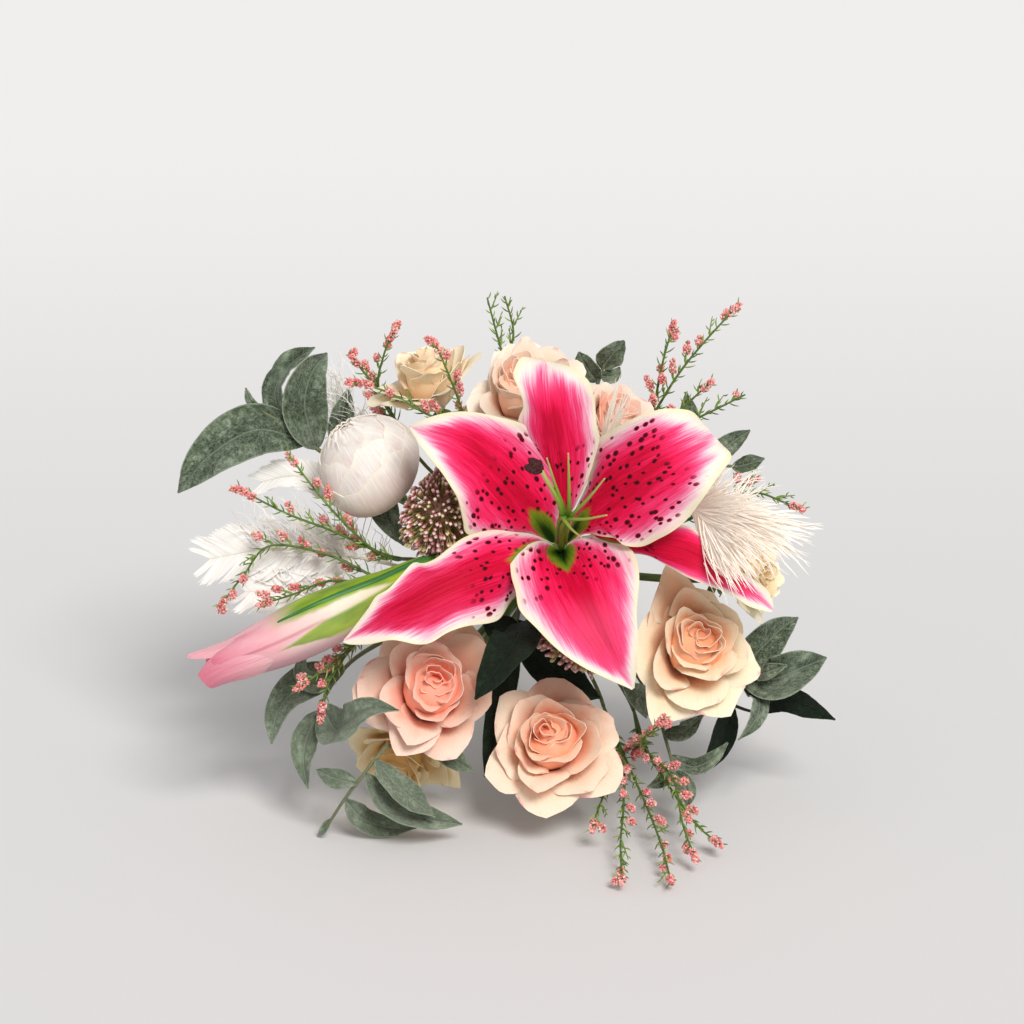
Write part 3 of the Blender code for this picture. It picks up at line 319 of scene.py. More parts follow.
# how far apart, in millimetres of grain, the marks of one part and the next may lie
GRAIN_APART = 50.0
SHARP_EDGE = math.radians(50)


def tubes(paths, radii, sides=6, lobes=0.0, chances=None):
    """Closed round stems, needles or hairs along many paths at once, without a twist."""
    paths = np.asarray(paths, float)
    count, steps = paths.shape[:2]
    radii = np.broadcast_to(radii, (count, steps))
    chances = np.zeros(count) if chances is None else chances
    tangents = unit(np.gradient(paths, axis=1))
    turns = 2 * math.pi * np.arange(sides) / sides
    side = np.cross(tangents[:, 0], OFF_AXIS)
    points = np.empty((count, steps * sides + 2, 3))
    for k in range(steps):
        side = unit(side - tangents[:, k] * np.sum(side * tangents[:, k], axis=1, keepdims=True))
        up = np.cross(tangents[:, k], side)
        size = radii[:, k, None, None] * (1 + lobes * np.cos(3 * turns))[None, :, None]
        ring = np.cos(turns)[None, :, None] * side[:, None] + np.sin(turns)[None, :, None] * up[:, None]
        points[:, k * sides:(k + 1) * sides] = paths[:, k, None] + size * ring
    points[:, -2:] = paths[:, [0, -1]]
    here = np.arange(sides)
    after = (here + 1) % sides
    rows = np.arange(steps - 1)[:, None] * sides
    walls = np.stack([rows + here, rows + after, rows + sides + after, rows + sides + here], axis=-1)
    last = (steps - 1) * sides
    low_cap = np.stack([np.full(sides, steps * sides), after, here], axis=-1)
    high_cap = np.stack([np.full(sides, steps * sides + 1), last + here, last + after], axis=-1)
    offsets = (np.arange(count) * (steps * sides + 2))[:, None, None]
    quads = (walls.reshape(1, -1, 4) + offsets).reshape(-1, 4)
    caps = (np.vstack([low_cap, high_cap])[None] + offsets).reshape(-1, 3)
    ring_share = np.append(np.repeat(np.arange(steps) / (steps - 1), sides), [0, 1])
    lengths = np.zeros((count, steps))
    lengths[:, 1:] = np.cumsum(np.linalg.norm(np.diff(paths, axis=1), axis=2), axis=1)
    share = np.zeros((count, steps * sides + 2, 3))
    share[..., 0] = ring_share
    share[..., 1] = np.append(np.tile(np.cos(turns), steps), [0, 0])
    share[..., 2] = chances[:, None]
    lay = np.zeros_like(share)
    lay[..., 0] = np.append(np.tile(turns * 1.5, steps), [0, 0])
    lay[:, :-2, 1] = np.repeat(lengths, sides, axis=1)
    lay[:, -1, 1] = lengths[:, -1]
    lay[..., 2] = chances[:, None] * GRAIN_APART
    return points.reshape(-1, 3), [quads, caps], share.reshape(-1, 3), lay.reshape(-1, 3)


def two_faced(along, across):
    """The marks of a front and a back: how far along, how far across, and 1 in front or 0 behind."""
    marks = [np.stack([along, across, np.full_like(along, face)], axis=-1) for face in (1.0, 0.0)]
    return np.concatenate(marks).reshape(-1, 3)


def sheet(grid, thickness, chance=0.0):
    """A thin closed petal, leaf or barb on its middle surface, marked along, across and front or back."""
    rows, columns = grid.shape[:2]
    normal = unit(np.cross(np.gradient(grid, axis=1), np.gradient(grid, axis=0)))
    points = np.concatenate([grid + normal * thickness / 2, grid - normal * thickness / 2]).reshape(-1, 3)
    index = np.arange(rows * columns).reshape(rows, columns)
    front = np.stack([index[:-1, :-1], index[:-1, 1:], index[1:, 1:], index[1:, :-1]], axis=-1)
    front = front.reshape(-1, 4)
    back = front[:, ::-1] + rows * columns
    rim = np.concatenate([index[0, :-1], index[:-1, -1], index[-1, :0:-1], index[:0:-1, 0]])
    following = np.roll(rim, -1)
    edge = np.stack([rim, rim + rows * columns, following + rows * columns, following], axis=-1)
    along = np.linspace(0, 1, rows)[:, None] + np.zeros((rows, columns))
    across = np.linspace(-1, 1, columns)[None, :] + np.zeros((rows, columns))
    middle = columns // 2
    spine = np.concatenate([[0], np.cumsum(np.linalg.norm(np.diff(grid[:, middle], axis=0), axis=1))])
    width = np.zeros((rows, columns))
    width[:, 1:] = np.cumsum(np.linalg.norm(np.diff(grid, axis=1), axis=2), axis=1)
    width -= width[:, middle:middle + 1]
    own = np.full_like(width, chance * GRAIN_APART)
    lay = np.stack([width, spine[:, None] + 0 * width, own], axis=-1)
    return points, [front, back, edge], two_faced(along, across), np.concatenate([lay, lay]).reshape(-1, 3)


def make_piece(node, suffix, parts, finishes):
    """One piece from closed parts, each with the number of its finish, in place of that plain solid."""
    corners, counts, looks = [], [], []
    first = 0
    for (points, groups, _, _), look in parts:
        for faces in groups:
            corners.append((faces + first).ravel())
            counts.append(np.full(len(faces), faces.shape[1]))
            looks.append(np.full(len(faces), look))
        first += len(points)
    corners, counts, looks = (np.concatenate(each).astype(np.int32) for each in (corners, counts, looks))
    mesh = bpy.data.meshes.new(node + suffix)
    mesh.vertices.add(first)
    mesh.vertices.foreach_set("co", laid(np.concatenate([shape[0] for shape, _ in parts])).ravel())
    mesh.loops.add(len(corners))
    mesh.loops.foreach_set("vertex_index", corners)
    mesh.polygons.add(len(counts))
    mesh.polygons.foreach_set("loop_start", (np.cumsum(counts) - counts).astype(np.int32))
    mesh.polygons.foreach_set("material_index", looks)
    for key, column in (("share", 2), ("lay", 3)):
        marks = mesh.attributes.new(key, "FLOAT_VECTOR", "POINT")
        marks.data.foreach_set("vector", np.concatenate([shape[column] for shape, _ in parts]).ravel())
    mesh.update(calc_edges=True)
    mesh.validate()
    mesh.polygons.foreach_set("use_smooth", np.ones(len(mesh.polygons), bool))
    mesh.set_sharp_from_angle(angle=SHARP_EDGE)
    for finish in finishes:
        mesh.materials.append(finish)
    piece = bpy.data.objects.new(node + suffix, mesh)
    bpy.context.scene.collection.objects.link(piece)
    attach(piece, "root")
    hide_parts(node)
    return piece


def stem_finish():
    make = Finish("green_stem")
    share = make.marks("share")
    blotch = make.noise(make.lay(0.5, 0.09, 1.0), 1.0, 4.0)
    ridge = make.noise(make.lay(2.2, 0.06, 1.0), 1.0, 3.0)
    shade = make.ramp(blotch, (0.25, tone(62, 84, 32)), (0.5, tone(84, 108, 44)), (0.75, tone(112, 128, 62)))
    cut = make.step(share["X"], 0.012, 0.0)
    colour = make.mixed(cut, shade, tone(176, 172, 120))
    return make.done(colour, 0.52, ridge, 0.25, Specular_IOR_Level=0.4)


def hub_point(name):
    centre, facing, radius = BLOOMS[name]
    return np.array(centre) - unit(facing) * radius * HUB_DEPTH


def hip_sepals(top, facing, size):
    """Five narrow sepals round a rose's hip, arched out and bent back."""
    x = unit(np.cross((0.1, 1, 0.2), facing))
    y = np.cross(facing, x)
    shapes = []
    for k in range(5):
        turn = 2 * math.pi * k / 5 + 0.4
        out = x * math.cos(turn) + y * math.sin(turn)
        ends = [(0.10, -2.2), (0.24, -2.9), (0.40, -4.4), (0.52, -7.2)]
        midrib = [top + out * size * reach + facing * drop for reach, drop in ends]
        spine = smooth_path(midrib, 12)
        along = np.linspace(0, 1, 12)
        half = 3.1 * np.sin(np.clip(along * 1.05 + 0.12, 0, 1) * math.pi) ** 0.7 * (1 - 0.55 * along) + 0.12
        over = np.cross(out, facing)
        across = np.linspace(-1, 1, 5)
        lift = -0.28 * across**2
        grid = spine[:, None] + half[:, None, None] * (across[:, None] * over + lift[:, None] * facing)
        shapes.append(sheet(grid, 0.5, k * 0.21))
    return shapes


GREEN = stem_finish()
for name, (centre, facing, size) in BLOOMS.items():
    facing = unit(facing)
    top = hub_point(name) - facing * JOINT_GAP
    route = stem_route(name, top - facing * 10, facing)
    hip = [top - facing * back for back in (8, 6.5, 5, 3.6, 2.3, 1.1, 0)]
    hip_radii = np.array([0.075, 0.10, 0.14, 0.175, 0.185, 0.165, 0.11]) * size
    radii = np.concatenate([np.full(len(route), ROSE_STEM), np.maximum(hip_radii, ROSE_STEM)])
    parts = [(tubes([np.vstack([route, hip])], radii, 12), 0)]
    if name.startswith("rose"):
        parts += [(shape, 0) for shape in hip_sepals(top, facing, size)]
    make_piece(name + "_stem", "_moulded", parts, [GREEN])

# The lily.
# Six printed silk tepals are glued round one short funnel, three wide ones over three narrow ones. A wire
# under each midrib holds it arched out, with its tip bent back. The stem runs to the middle of the handle.
LILY_HUB = np.array([10.0, 11.0, 12.0])
TEPAL = 0.55
# Each tepal: its midrib, then the outlines of its left and right side, from the throat to the tip, and how
# far each side stands in front of the midrib at five points along it
TEPALS = {
    "top": (
        [(10, 15, 15), (10, 30, 34), (6.8, 55, 56), (3.5, 71.7, 69), (2.1, 85.1, 71), (1.6, 94.5, 63)],
        [(8.5, 15), (7.5, 30), (2.8, 45.9), (-5.7, 59.5), (-9.7, 68.6), (-7.5, 75.4), (-9.7, 82.8),
         (-11.9, 87.9), (-11.1, 92.4), (-8, 96.7), (-1.5, 95.8)],
        [(11.5, 15.5), (14, 27), (17, 33.5), (21.5, 43.7), (24.9, 55), (26.1, 60.7), (24.6, 68),
         (23.8, 77.7), (21.5, 85.6), (17, 89.6), (11.3, 93), (4.5, 94.6)],
        (0, -8, -3, 2, -3), (0, 7, 5, 3, -3),
    ),
    "lower_right": (
        [(12.5, 12, 14), (28.8, 14.5, 30), (48.1, 13, 46), (67.4, 8.9, 54), (87, -2.2, 54),
         (104, -15.4, 47)],
        [(12, 13), (28.3, 20), (45.2, 21.3), (64.1, 22.3), (71.3, 18.4), (77.8, 11.8), (84.3, 5.3),
         (90.9, 0.8), (96.1, -2.5), (101.3, -6.7), (104, -13.2)],
        [(12, 10.5), (28.3, 10.5), (41.3, 9.9), (49.1, 8.6), (57.6, 4), (66.1, -0.9), (74.6, -4.4),
         (81.7, -7.1), (86.9, -10), (93.5, -13.9), (102.6, -16.5)],
        (0, -2, -5, 0, 0), (0, -3, 0, 2, 0),
    ),
    "lower_left": (
        [(6.5, 12.5, 14), (-12, 7.3, 38), (-31, 1.1, 56), (-48.1, -6.9, 62), (-67.1, -17.3, 61),
         (-87.6, -29.1, 53)],
        [(6.5, 11), (-4.7, 2), (-9.2, -7), (-13.8, -12.5), (-18.3, -19.3), (-23.7, -21.3),
         (-32.8, -22.3), (-41, -25), (-48.2, -29.3), (-54.6, -30.2), (-65.5, -28.3), (-75.4, -30.2),
         (-83.6, -30.6), (-87.7, -29.6)],
        [(6.5, 14), (-3.8, 18.4), (-11.9, 19.4), (-20.1, 20.4), (-29.2, 18.8), (-35.5, 16.1), (-41, 12),
         (-46.4, 7.7), (-51.9, 5.5), (-56.4, 5.8), (-61.8, 0.2), (-67.3, -5.7), (-72.7, -8.9),
         (-76.3, -14.3), (-81.8, -21.5), (-87.2, -28.6)],
        (0, -8, 1, 3, 0), (0, 6, 5, 3, 0),
    ),
    "upper_left": (
        [(6.5, 14.5, 15), (-4, 28, 36), (-22.7, 49.3, 56), (-37.3, 59.4, 66), (-50.2, 63.8, 67),
         (-58, 66.2, 62)],
        [(5.5, 13.5), (-5.7, 18.7), (-19.3, 17), (-32.3, 18.4), (-34.3, 24.4), (-36.3, 33.5),
         (-39.7, 39.7), (-44.2, 46.5), (-49.3, 52.7), (-55, 60.7), (-58.1, 65.9)],
        [(8, 15), (8.5, 28), (9.9, 43.7), (8.8, 52.2), (5.1, 58.4), (-1.2, 63.5), (-9.7, 68),
         (-19.3, 70.6), (-30.6, 72.6), (-40.8, 72.2), (-50.5, 69.7), (-57.8, 66.5)],
        (0, -2, 5, 4, 0), (0, 6, 5, 3, 0),
    ),
    "upper_right": (
        [(12, 14.5, 15), (21, 29, 36), (36.1, 41.5, 56), (50, 49.8, 68), (63.5, 56.9, 71),
         (76, 62.5, 62)],
        [(11.5, 15.5), (16, 29), (21.4, 40.9), (24, 50), (26, 60.4), (30.2, 63.7), (36.8, 67.6),
         (45.2, 71.5), (54.4, 73.8), (62.8, 73.6), (67.7, 72.1), (73, 66.5)],
        [(12.5, 13.5), (20.5, 18.4), (28.3, 17.4), (34.1, 16.4), (37.4, 13.5), (45.2, 13), (53.1, 16.7),
         (59.6, 20.6), (64.8, 25.2), (70.6, 33), (77.8, 43.5), (84.3, 52.6), (80, 58.5)],
        (0, -6, -1, 3, -4), (0, 8, 7, 3, -4),
    ),
    "bottom": (
        [(9.5, 10, 14), (12, 3, 37), (17.5, -9, 57), (24, -22, 64), (32, -37, 63), (41.2, -50.2, 55)],
        [(11, 11), (15.3, 15.6), (21.6, 17.6), (29.8, 17), (36.1, 14.7), (42, 9.7), (43.9, 0.2),
         (42.9, -11.6), (42.5, -17.9), (43.2, -28.8), (42.8, -39.7), (41.6, -49.9)],
        [(8, 11), (4.4, 14), (0.7, 15.2), (-3.8, 14.3), (-9.2, 11.1), (-13, 7.5), (-13, 0.2), (-11, -7),
         (-9.2, -15.2), (-2, -22.9), (7.1, -32), (18, -39.7), (29.8, -45.6), (40.8, -50.6)],
        (0, -9, 0, 3, 0), (0, 2, 2, 3, 0),
    ),
}
# How far up its tepal the spots reach
SPOTTED = {"top": 0.52, "lower_right": 0.44, "lower_left": 0.46, "upper_left": 0.56, "upper_right": 0.76,
           "bottom": 0.42}
# The column in the throat, and where its five filaments and its pistil end
COLUMN = [(10, 11.6, 17), (9.5, 15.5, 36), (11, 26, 56)]
FILAMENT_TIPS = [(2.7, 52, 83), (12, 54, 86), (28, 43, 83), (29, 27, 80), (18, 17, 76)]
PISTIL_TIP = np.array([0.0, 47.0, 80.0])


def silk_tepal_finish():
    """Crimson along the midrib, then pink in fine streaks, a cream edge, maroon spots and a green throat."""
    make = Finish("lily_silk")
    share = make.marks("share")
    aside = make.size(share["Y"])
    streaks = make.noise(make.lay(1.9, 0.05, 1.0), 1.0, 4.0, 0.65)
    broad = make.noise(make.lay(0.20, 0.03, 1.0), 1.0, 2.0)
    # the dye thins towards the edges and the tip
    tip = make.times(make.step(share["X"], 0.68, 1.04), 0.82)
    sides = make.maths("POWER", aside, 1.85)
    spread = make.plus(make.times(sides, 1.06), tip)
    grain = make.times(make.less(streaks, 0.5), 0.75)
    patch = make.times(make.less(broad, 0.5), 0.70)
    dye = make.plus(make.plus(make.less(1.02, spread), grain), patch)
    # the lower right tepal is dyed almost to its edges
    lower_right = make.maths("COMPARE", make.marks("lay")["Z"], GRAIN_APART * SPOTTED["lower_right"], 0.4)
    lower_right = make.times(lower_right, make.step(share["X"], 0.95, 0.70))
    dye = make.maths("MULTIPLY_ADD", lower_right, 0.26, dye)
    print_colour = make.ramp(
        dye,
        (0.02, tone(251, 236, 222)),
        (0.15, tone(251, 220, 222)),
        (0.32, tone(247, 164, 192)),
        (0.48, tone(248, 96, 146)),
        (0.64, tone(248, 52, 110)),
        (0.86, tone(244, 24, 84)),
        (1.04, tone(210, 2, 56)),
    )
    # fine ribs run from the throat to the tip
    ribs = make.maths("MULTIPLY_ADD", share["Y"], 26.0, make.times(streaks, 1.6))
    ribs = make.size(make.maths("SINE", ribs))
    line = make.times(make.step(ribs, 0.40, 0.0), make.step(dye, 0.2, 0.6))
    print_colour = make.wash(print_colour, line, 0.26, tone(170, 0, 50))
    # the lower left tepal is painted darker where it is fully dyed, as painted shade; the bottom one is a
    # lighter pink
    full = make.step(dye, 0.3, 0.7)
    left_painted_shade = make.times(make.step(make.toward((-1.0, -0.5, 0.0), (0, 0, 0)), 8.0, 44.0), full)
    print_colour = make.wash(print_colour, left_painted_shade, 0.50, tone(184, 2, 44))
    lighter = make.times(make.step(make.toward((0.25, -0.97, 0.0), (0, 0, 0)), 8.0, 32.0), full)
    print_colour = make.wash(print_colour, lighter, 0.42, tone(255, 92, 140))
    edge = make.step(make.plus(aside, make.times(tip, 0.12)), 0.88, 1.04)
    colour = make.wash(print_colour, edge, 1.0, tone(244, 236, 194))
    # spots reach up the tepal as far as its own mark says, each a dark drop in a red ring
    spots_end = make.maths("DIVIDE", make.marks("lay")["Z"], GRAIN_APART)
    drops = make.add("TexVoronoi", {"Vector": make.lay(1.0, 0.70, 1.0), "Scale": 0.24, "Randomness": 1.0},
                     voronoi_dimensions="2D")
    chosen = make.add("SeparateColor", {"Color": drops["Color"]})["Red"]
    beyond = make.less(share["X"], spots_end)
    zone = make.times(make.step(beyond, 0.05, -0.06), make.step(share["X"], 0.10, 0.17))
    zone = make.times(zone, make.step(aside, 0.94, 0.82))
    zone = make.times(zone, make.maths("GREATER_THAN", chosen, 0.16))
    radius = make.maths("MULTIPLY_ADD", chosen, 0.15, 0.12)
    inside = make.maths("DIVIDE", drops["Distance"], radius)
    ring = make.times(zone, make.step(inside, 1.30, 0.95))
    core = make.times(zone, make.step(inside, 1.0, 0.72))
    colour = make.mixed(ring, colour, tone(186, 8, 44))
    colour = make.mixed(core, colour, tone(66, 6, 28))
    # green runs out of the throat, furthest along the midrib
    reach = make.maths("MULTIPLY_ADD", grain, 0.12, make.maths("MULTIPLY_ADD", aside, 0.30, share["X"]))
    colour = make.mixed(make.step(reach, 0.31, 0.25), colour, tone(118, 160, 36))
    colour = make.mixed(make.step(reach, 0.27, 0.13), colour, tone(24, 62, 12))
    # the back is pale, with a green rib
    rib = make.step(aside, 0.14, 0.03)
    behind = make.mixed(rib, make.ramp(dye, (0.1, tone(240, 232, 196)), (0.9, tone(238, 176, 178))),
                        tone(170, 186, 104))
    colour = make.mixed(share["Z"], behind, colour)
    weave = make.noise(make.lay(3.0, 3.0), 1.0, 2.0)
    height = make.plus(streaks, make.times(weave, 0.25))
    height = make.plus(height, make.times(core, 0.5))
    height = make.less(height, make.times(line, 0.35))
    return make.done(colour, 0.55, height, 0.45, through=(0.12, (0.004, 0.0015, 0.001), 0.5),
                     Specular_IOR_Level=0.16)


def softened(values):
    """Evens out a row of numbers over seven neighbours."""
    return np.convolve(np.pad(values, 3, mode="edge"), np.ones(7) / 7, mode="valid")


def tepal_grid(midrib, left, right, left_lift, right_lift, rows=72, half_columns=17, seed=0):
    """A tepal's middle surface, spun between its midrib and its two outlines."""
    chance = np.random.default_rng(seed)
    spine = smooth_path(midrib, rows)
    along = np.linspace(0, 1, rows)
    sides = []
    for outline, lifts in ((left, left_lift), (right, right_lift)):
        edge = smooth_path(outline, rows)
        depth = spine[:, 2] + np.interp(along, np.linspace(0, 1, 5), lifts)
        edge = np.column_stack([edge, depth])
        gap = edge - spine
        wide = np.linalg.norm(gap, axis=1, keepdims=True)
        edge = np.where(wide < 0.3, spine + unit(gap) * 0.3, edge)
        edge[:, 2] = softened(edge[:, 2])
        sides.append(edge)
    reach = np.linspace(0, 1, half_columns)
    arch = np.sin(along * math.pi)[:, None]
    grid = np.zeros((rows, 2 * half_columns - 1, 3))
    # the left side's columns run back from the midrib, the right side's forward
    for edge, columns in zip(sides, (slice(half_columns - 1, None, -1), slice(half_columns - 1, None))):
        gap = edge - spine
        half = np.linalg.norm(gap, axis=1)[:, None]
        flat = spine[:, None, :2] + reach[None, :, None] * gap[:, None, :2]
        depth = spine[:, 2:] + reach[None, :] ** 1.5 * gap[:, 2:]
        # a groove along the midrib, low ribs beside it and a wavy margin
        depth = depth - 1.3 * np.exp(-((reach[None, :] * half / 2.2) ** 2)) * arch**0.5
        phase = chance.uniform(0, 2 * math.pi)
        ripple = np.sin(along * 23 + phase)[:, None] * 0.05 + np.sin(along * 11 + phase * 2)[:, None] * 0.05
        depth = depth + ripple * half * reach[None, :] ** 3 * arch
        depth = depth + 0.16 * np.sin(reach[None, :] * 26 + 3 * along[:, None]) * arch
        grid[:, columns] = np.concatenate([flat, depth[..., None]], axis=-1)
    return grid


# the funnel's radius and height, ring by ring
funnel = np.array([(3.4, -4), (4.0, -2.6), (4.6, -1), (5.2, 1.5), (5.6, 3.5), (4.2, 3.9)])
funnel_path = LILY_HUB + np.outer(funnel[:, 1], (0, 0, 1))
parts = [(tubes([funnel_path], funnel[:, 0], 20), 1)]
for k, (name, (midrib, left, right, left_lift, right_lift)) in enumerate(TEPALS.items()):
    grid = tepal_grid(midrib, left, right, left_lift, right_lift, seed=k)
    parts.append((sheet(grid, TEPAL, SPOTTED[name]), 0))
make_piece("lily_tepals", "_silk", parts, [silk_tepal_finish(), GREEN])

seat = LILY_HUB - (0, 0, 4 + JOINT_GAP)
route = stem_route("lily_stem", seat, (0.1, 0.1, 1))
make_piece("lily_stem", "_moulded", [(tubes([route], LILY_STEM, 14), 0)], [GREEN])


# The lily's stamens and pistil.
# Moulded plastic in one bunch. Five thin filaments lie round a grooved olive column like its ribs, then part.
# A longer pistil runs beside them and ends in a dark purple-brown head of two lobes.
def grained(name, lay, detail, low, high, roughness, depth, **sockets):
    """A finish with one grain: its lay, and its low and high colour."""
    make = Finish(name)
    grain = make.noise(make.lay(*lay), 1.0, detail)
    return make.done(make.ramp(grain, (0.3, low), (0.7, high)), roughness, grain, depth, **sockets)


def stamen_finish():
    make = Finish("stamen_green")
    share = make.marks("share")
    grain = make.noise(make.lay(2.5, 0.2), 1.0, 3.0)
    body = make.ramp(share["X"], (0.0, tone(14, 70, 8)), (0.35, tone(78, 138, 28)),
                     (0.7, tone(152, 182, 70)), (1.0, tone(222, 214, 142)))
    colour = make.mixed(0.25, body, make.ramp(grain, (0.3, tone(22, 76, 10)), (0.7, tone(160, 190, 80))))
    return make.done(colour, 0.42, grain, 0.3, Specular_IOR_Level=0.45)


stigma_brown = grained("stigma_brown", (1.2, 1.2), 4.0, tone(40, 18, 24), tone(96, 56, 56), 0.85, 0.8,
                       Specular_IOR_Level=0.08)
foot, bend = np.array(COLUMN[2]), np.array(COLUMN[1])
column_radii = np.interp(np.linspace(0, 1, 16), (0, 0.3, 0.75, 1), (1.2, 1.9, 1.7, 0.9))
column = tubes([smooth_path(COLUMN, 16)], column_radii, 18, 0.10)
# the column keeps the dark green of the filaments' lowest part
column[2][:, 0] *= 0.3
parts = [(column, 0)]
# the filaments lie round the column like its ribs, then part
threads = []
for k, tip in enumerate(np.array(FILAMENT_TIPS, float)):
    beside = np.array([math.cos(1.9 - 1.2 * k), math.sin(1.9 - 1.2 * k), 0.0])
    low, high = bend + 1.7 * beside, foot + 2.1 * beside
    threads.append(smooth_path([low, high, foot + (tip - foot) * 0.55 + 1.2 * beside, tip], 20))
thread_radii = np.interp(np.linspace(0, 1, 20), (0, 0.4, 1), (1.35, 1.05, 0.35))
parts.append((tubes(threads, thread_radii, 8, chances=np.linspace(0, 1, 5)), 0))
style = smooth_path([bend, foot + (-2, 4, 4), PISTIL_TIP], 14)
parts.append((tubes([style], np.linspace(1.1, 1.0, 14), 8), 0))
lobes = []
for side in (-1, 1):
    middle, end = PISTIL_TIP + (-2.2, 1.0, 1.0), PISTIL_TIP + (-6.2, 3.0, 1.6)
    lobes.append(smooth_path([PISTIL_TIP + (0.6, -0.3, -0.5), middle + side * np.array([0.5, 1.1, 0.2]),
                              end + side * np.array([0.9, 1.5, -0.3])], 9))
parts.append((tubes(lobes, (0.9, 1.4, 1.8, 2.0, 2.0, 1.9, 1.7, 1.4, 0.6), 14, 0.18), 1))
make_piece("lily_stamens", "_moulded", parts, [stamen_finish(), stigma_brown])

# The lily bud.
# A closed bud of the same silk over foam, on its own bent stem. It has three ribs, a dark green bract along
# its top, and three lips that part at the pink end, two of them large.
BUD_AXIS = [(-40, 9, 26), (-56, 3.5, 34), (-76, -8.5, 41), (-100, -20.5, 45), (-125, -32, 46),
            (-148, -41, 45)]
BUD_RADII = (2.4, 4.6, 11.2, 13.4, 11.2, 7.0)
BUD_STEPS, BUD_SIDES, LIP_STEPS = 40, 36, 26
LIP_CLOTH, BRACT_CLOTH = 0.7, 0.6


def bud_finish():
    """Lime near the stem and in one tongue, cream beside it, pink from the middle on, and a painted mauve
    shade underneath.
    """
    make = Finish("bud_silk")
    share = make.marks("share")
    grain = make.noise(make.lay(1.3, 0.05, 1.0), 1.0, 4.0)
    shake = make.times(make.less(grain, 0.5), 0.30)
    along = make.plus(share["X"], shake)
    high = make.plus(share["Y"], make.times(shake, 0.5))
    ground = make.ramp(along, (0.0, tone(214, 214, 160)), (0.42, tone(232, 220, 196)),
                       (0.60, tone(230, 202, 194)), (0.76, tone(236, 176, 182)),
                       (0.88, tone(230, 148, 162)), (1.0, tone(224, 118, 142)))
    # painted shade: the underside of the bud and its lowest lip are washed mauve
    under = make.step(high, -0.25, -0.80)
    colour = make.wash(ground, under, 0.8, tone(178, 132, 142))
    # lime covers the top to half way, then tapers; a second tongue runs below it
    upper = make.maths("MINIMUM", make.maths("MULTIPLY_ADD", share["X"], 2.4, -0.35), 0.60)
    top = make.step(make.less(make.plus(high, shake), upper), -0.04, 0.12)
    top = make.times(top, make.step(share["X"], 0.76, 0.60))
    colour = make.mixed(top, colour, make.ramp(grain, (0.3, tone(98, 138, 0)), (0.7, tone(164, 190, 10))))
    narrow = make.maths("MINIMUM", make.times(make.less(0.74, share["X"]), 2.3), 0.42)
    beside = make.less(narrow, make.size(make.plus(high, 0.14)))
    tongue = make.times(make.step(make.plus(beside, shake), -0.04, 0.10), 0.9)
    colour = make.mixed(tongue, colour, make.ramp(grain, (0.3, tone(98, 138, 0)), (0.7, tone(158, 188, 8))))
    colour = make.mixed(make.step(along, 0.26, 0.06), colour, tone(84, 128, 16))
    fold = make.times(make.step(make.size(make.less(high, 0.22)), 0.10, 0.0),
                      make.step(share["X"], 0.5, 0.62))
    colour = make.wash(colour, fold, 0.5, tone(214, 96, 120))
    height = make.less(grain, fold)
    return make.done(colour, 0.48, height, 0.6, through=(0.10, (0.004, 0.002, 0.001), 0.5),
                     Sheen_Weight=0.08)


bud_body = smooth_path(BUD_AXIS, BUD_STEPS)
direction = np.subtract(BUD_AXIS[1], BUD_AXIS[0])
bud_stem = stem_route("lily_bud", BUD_AXIS[0], direction + (10, 0, 14))
bud_share = np.linspace(0, 1, BUD_STEPS)
bud_radii = np.interp(bud_share, np.linspace(0, 1, 6), BUD_RADII)
bud_radii = softened(bud_radii)
bud_radii[-3:] *= (0.97, 0.86, 0.55)
bud_path = np.vstack([bud_stem[:-1], bud_body])
all_radii = np.concatenate([np.full(len(bud_stem) - 1, LILY_STEM), bud_radii])
points, groups, share, lay = tubes([bud_path], all_radii, BUD_SIDES, 0.07)
# its marks are how far along the bud, and how high on it, as the flowers' face is seen
bud_long = np.linalg.norm(np.diff(bud_body, axis=0), axis=1).sum()
share[:, 0] = np.clip(1 + (lay[:, 1] - lay[:, 1].max()) / bud_long, 0, 1)
bud_axis = unit(bud_body[-1] - bud_body[0])
bud_up = unit(np.cross(bud_axis, np.cross((0, 1, 0.25), bud_axis)))
middle = np.repeat(bud_path, BUD_SIDES, axis=0)
share[:-2, 1] = np.sum(unit(points[:-2] - middle) * bud_up, axis=1)
parts = [((points, groups, share, lay), 0)]
end = np.array(BUD_AXIS[-1], float)
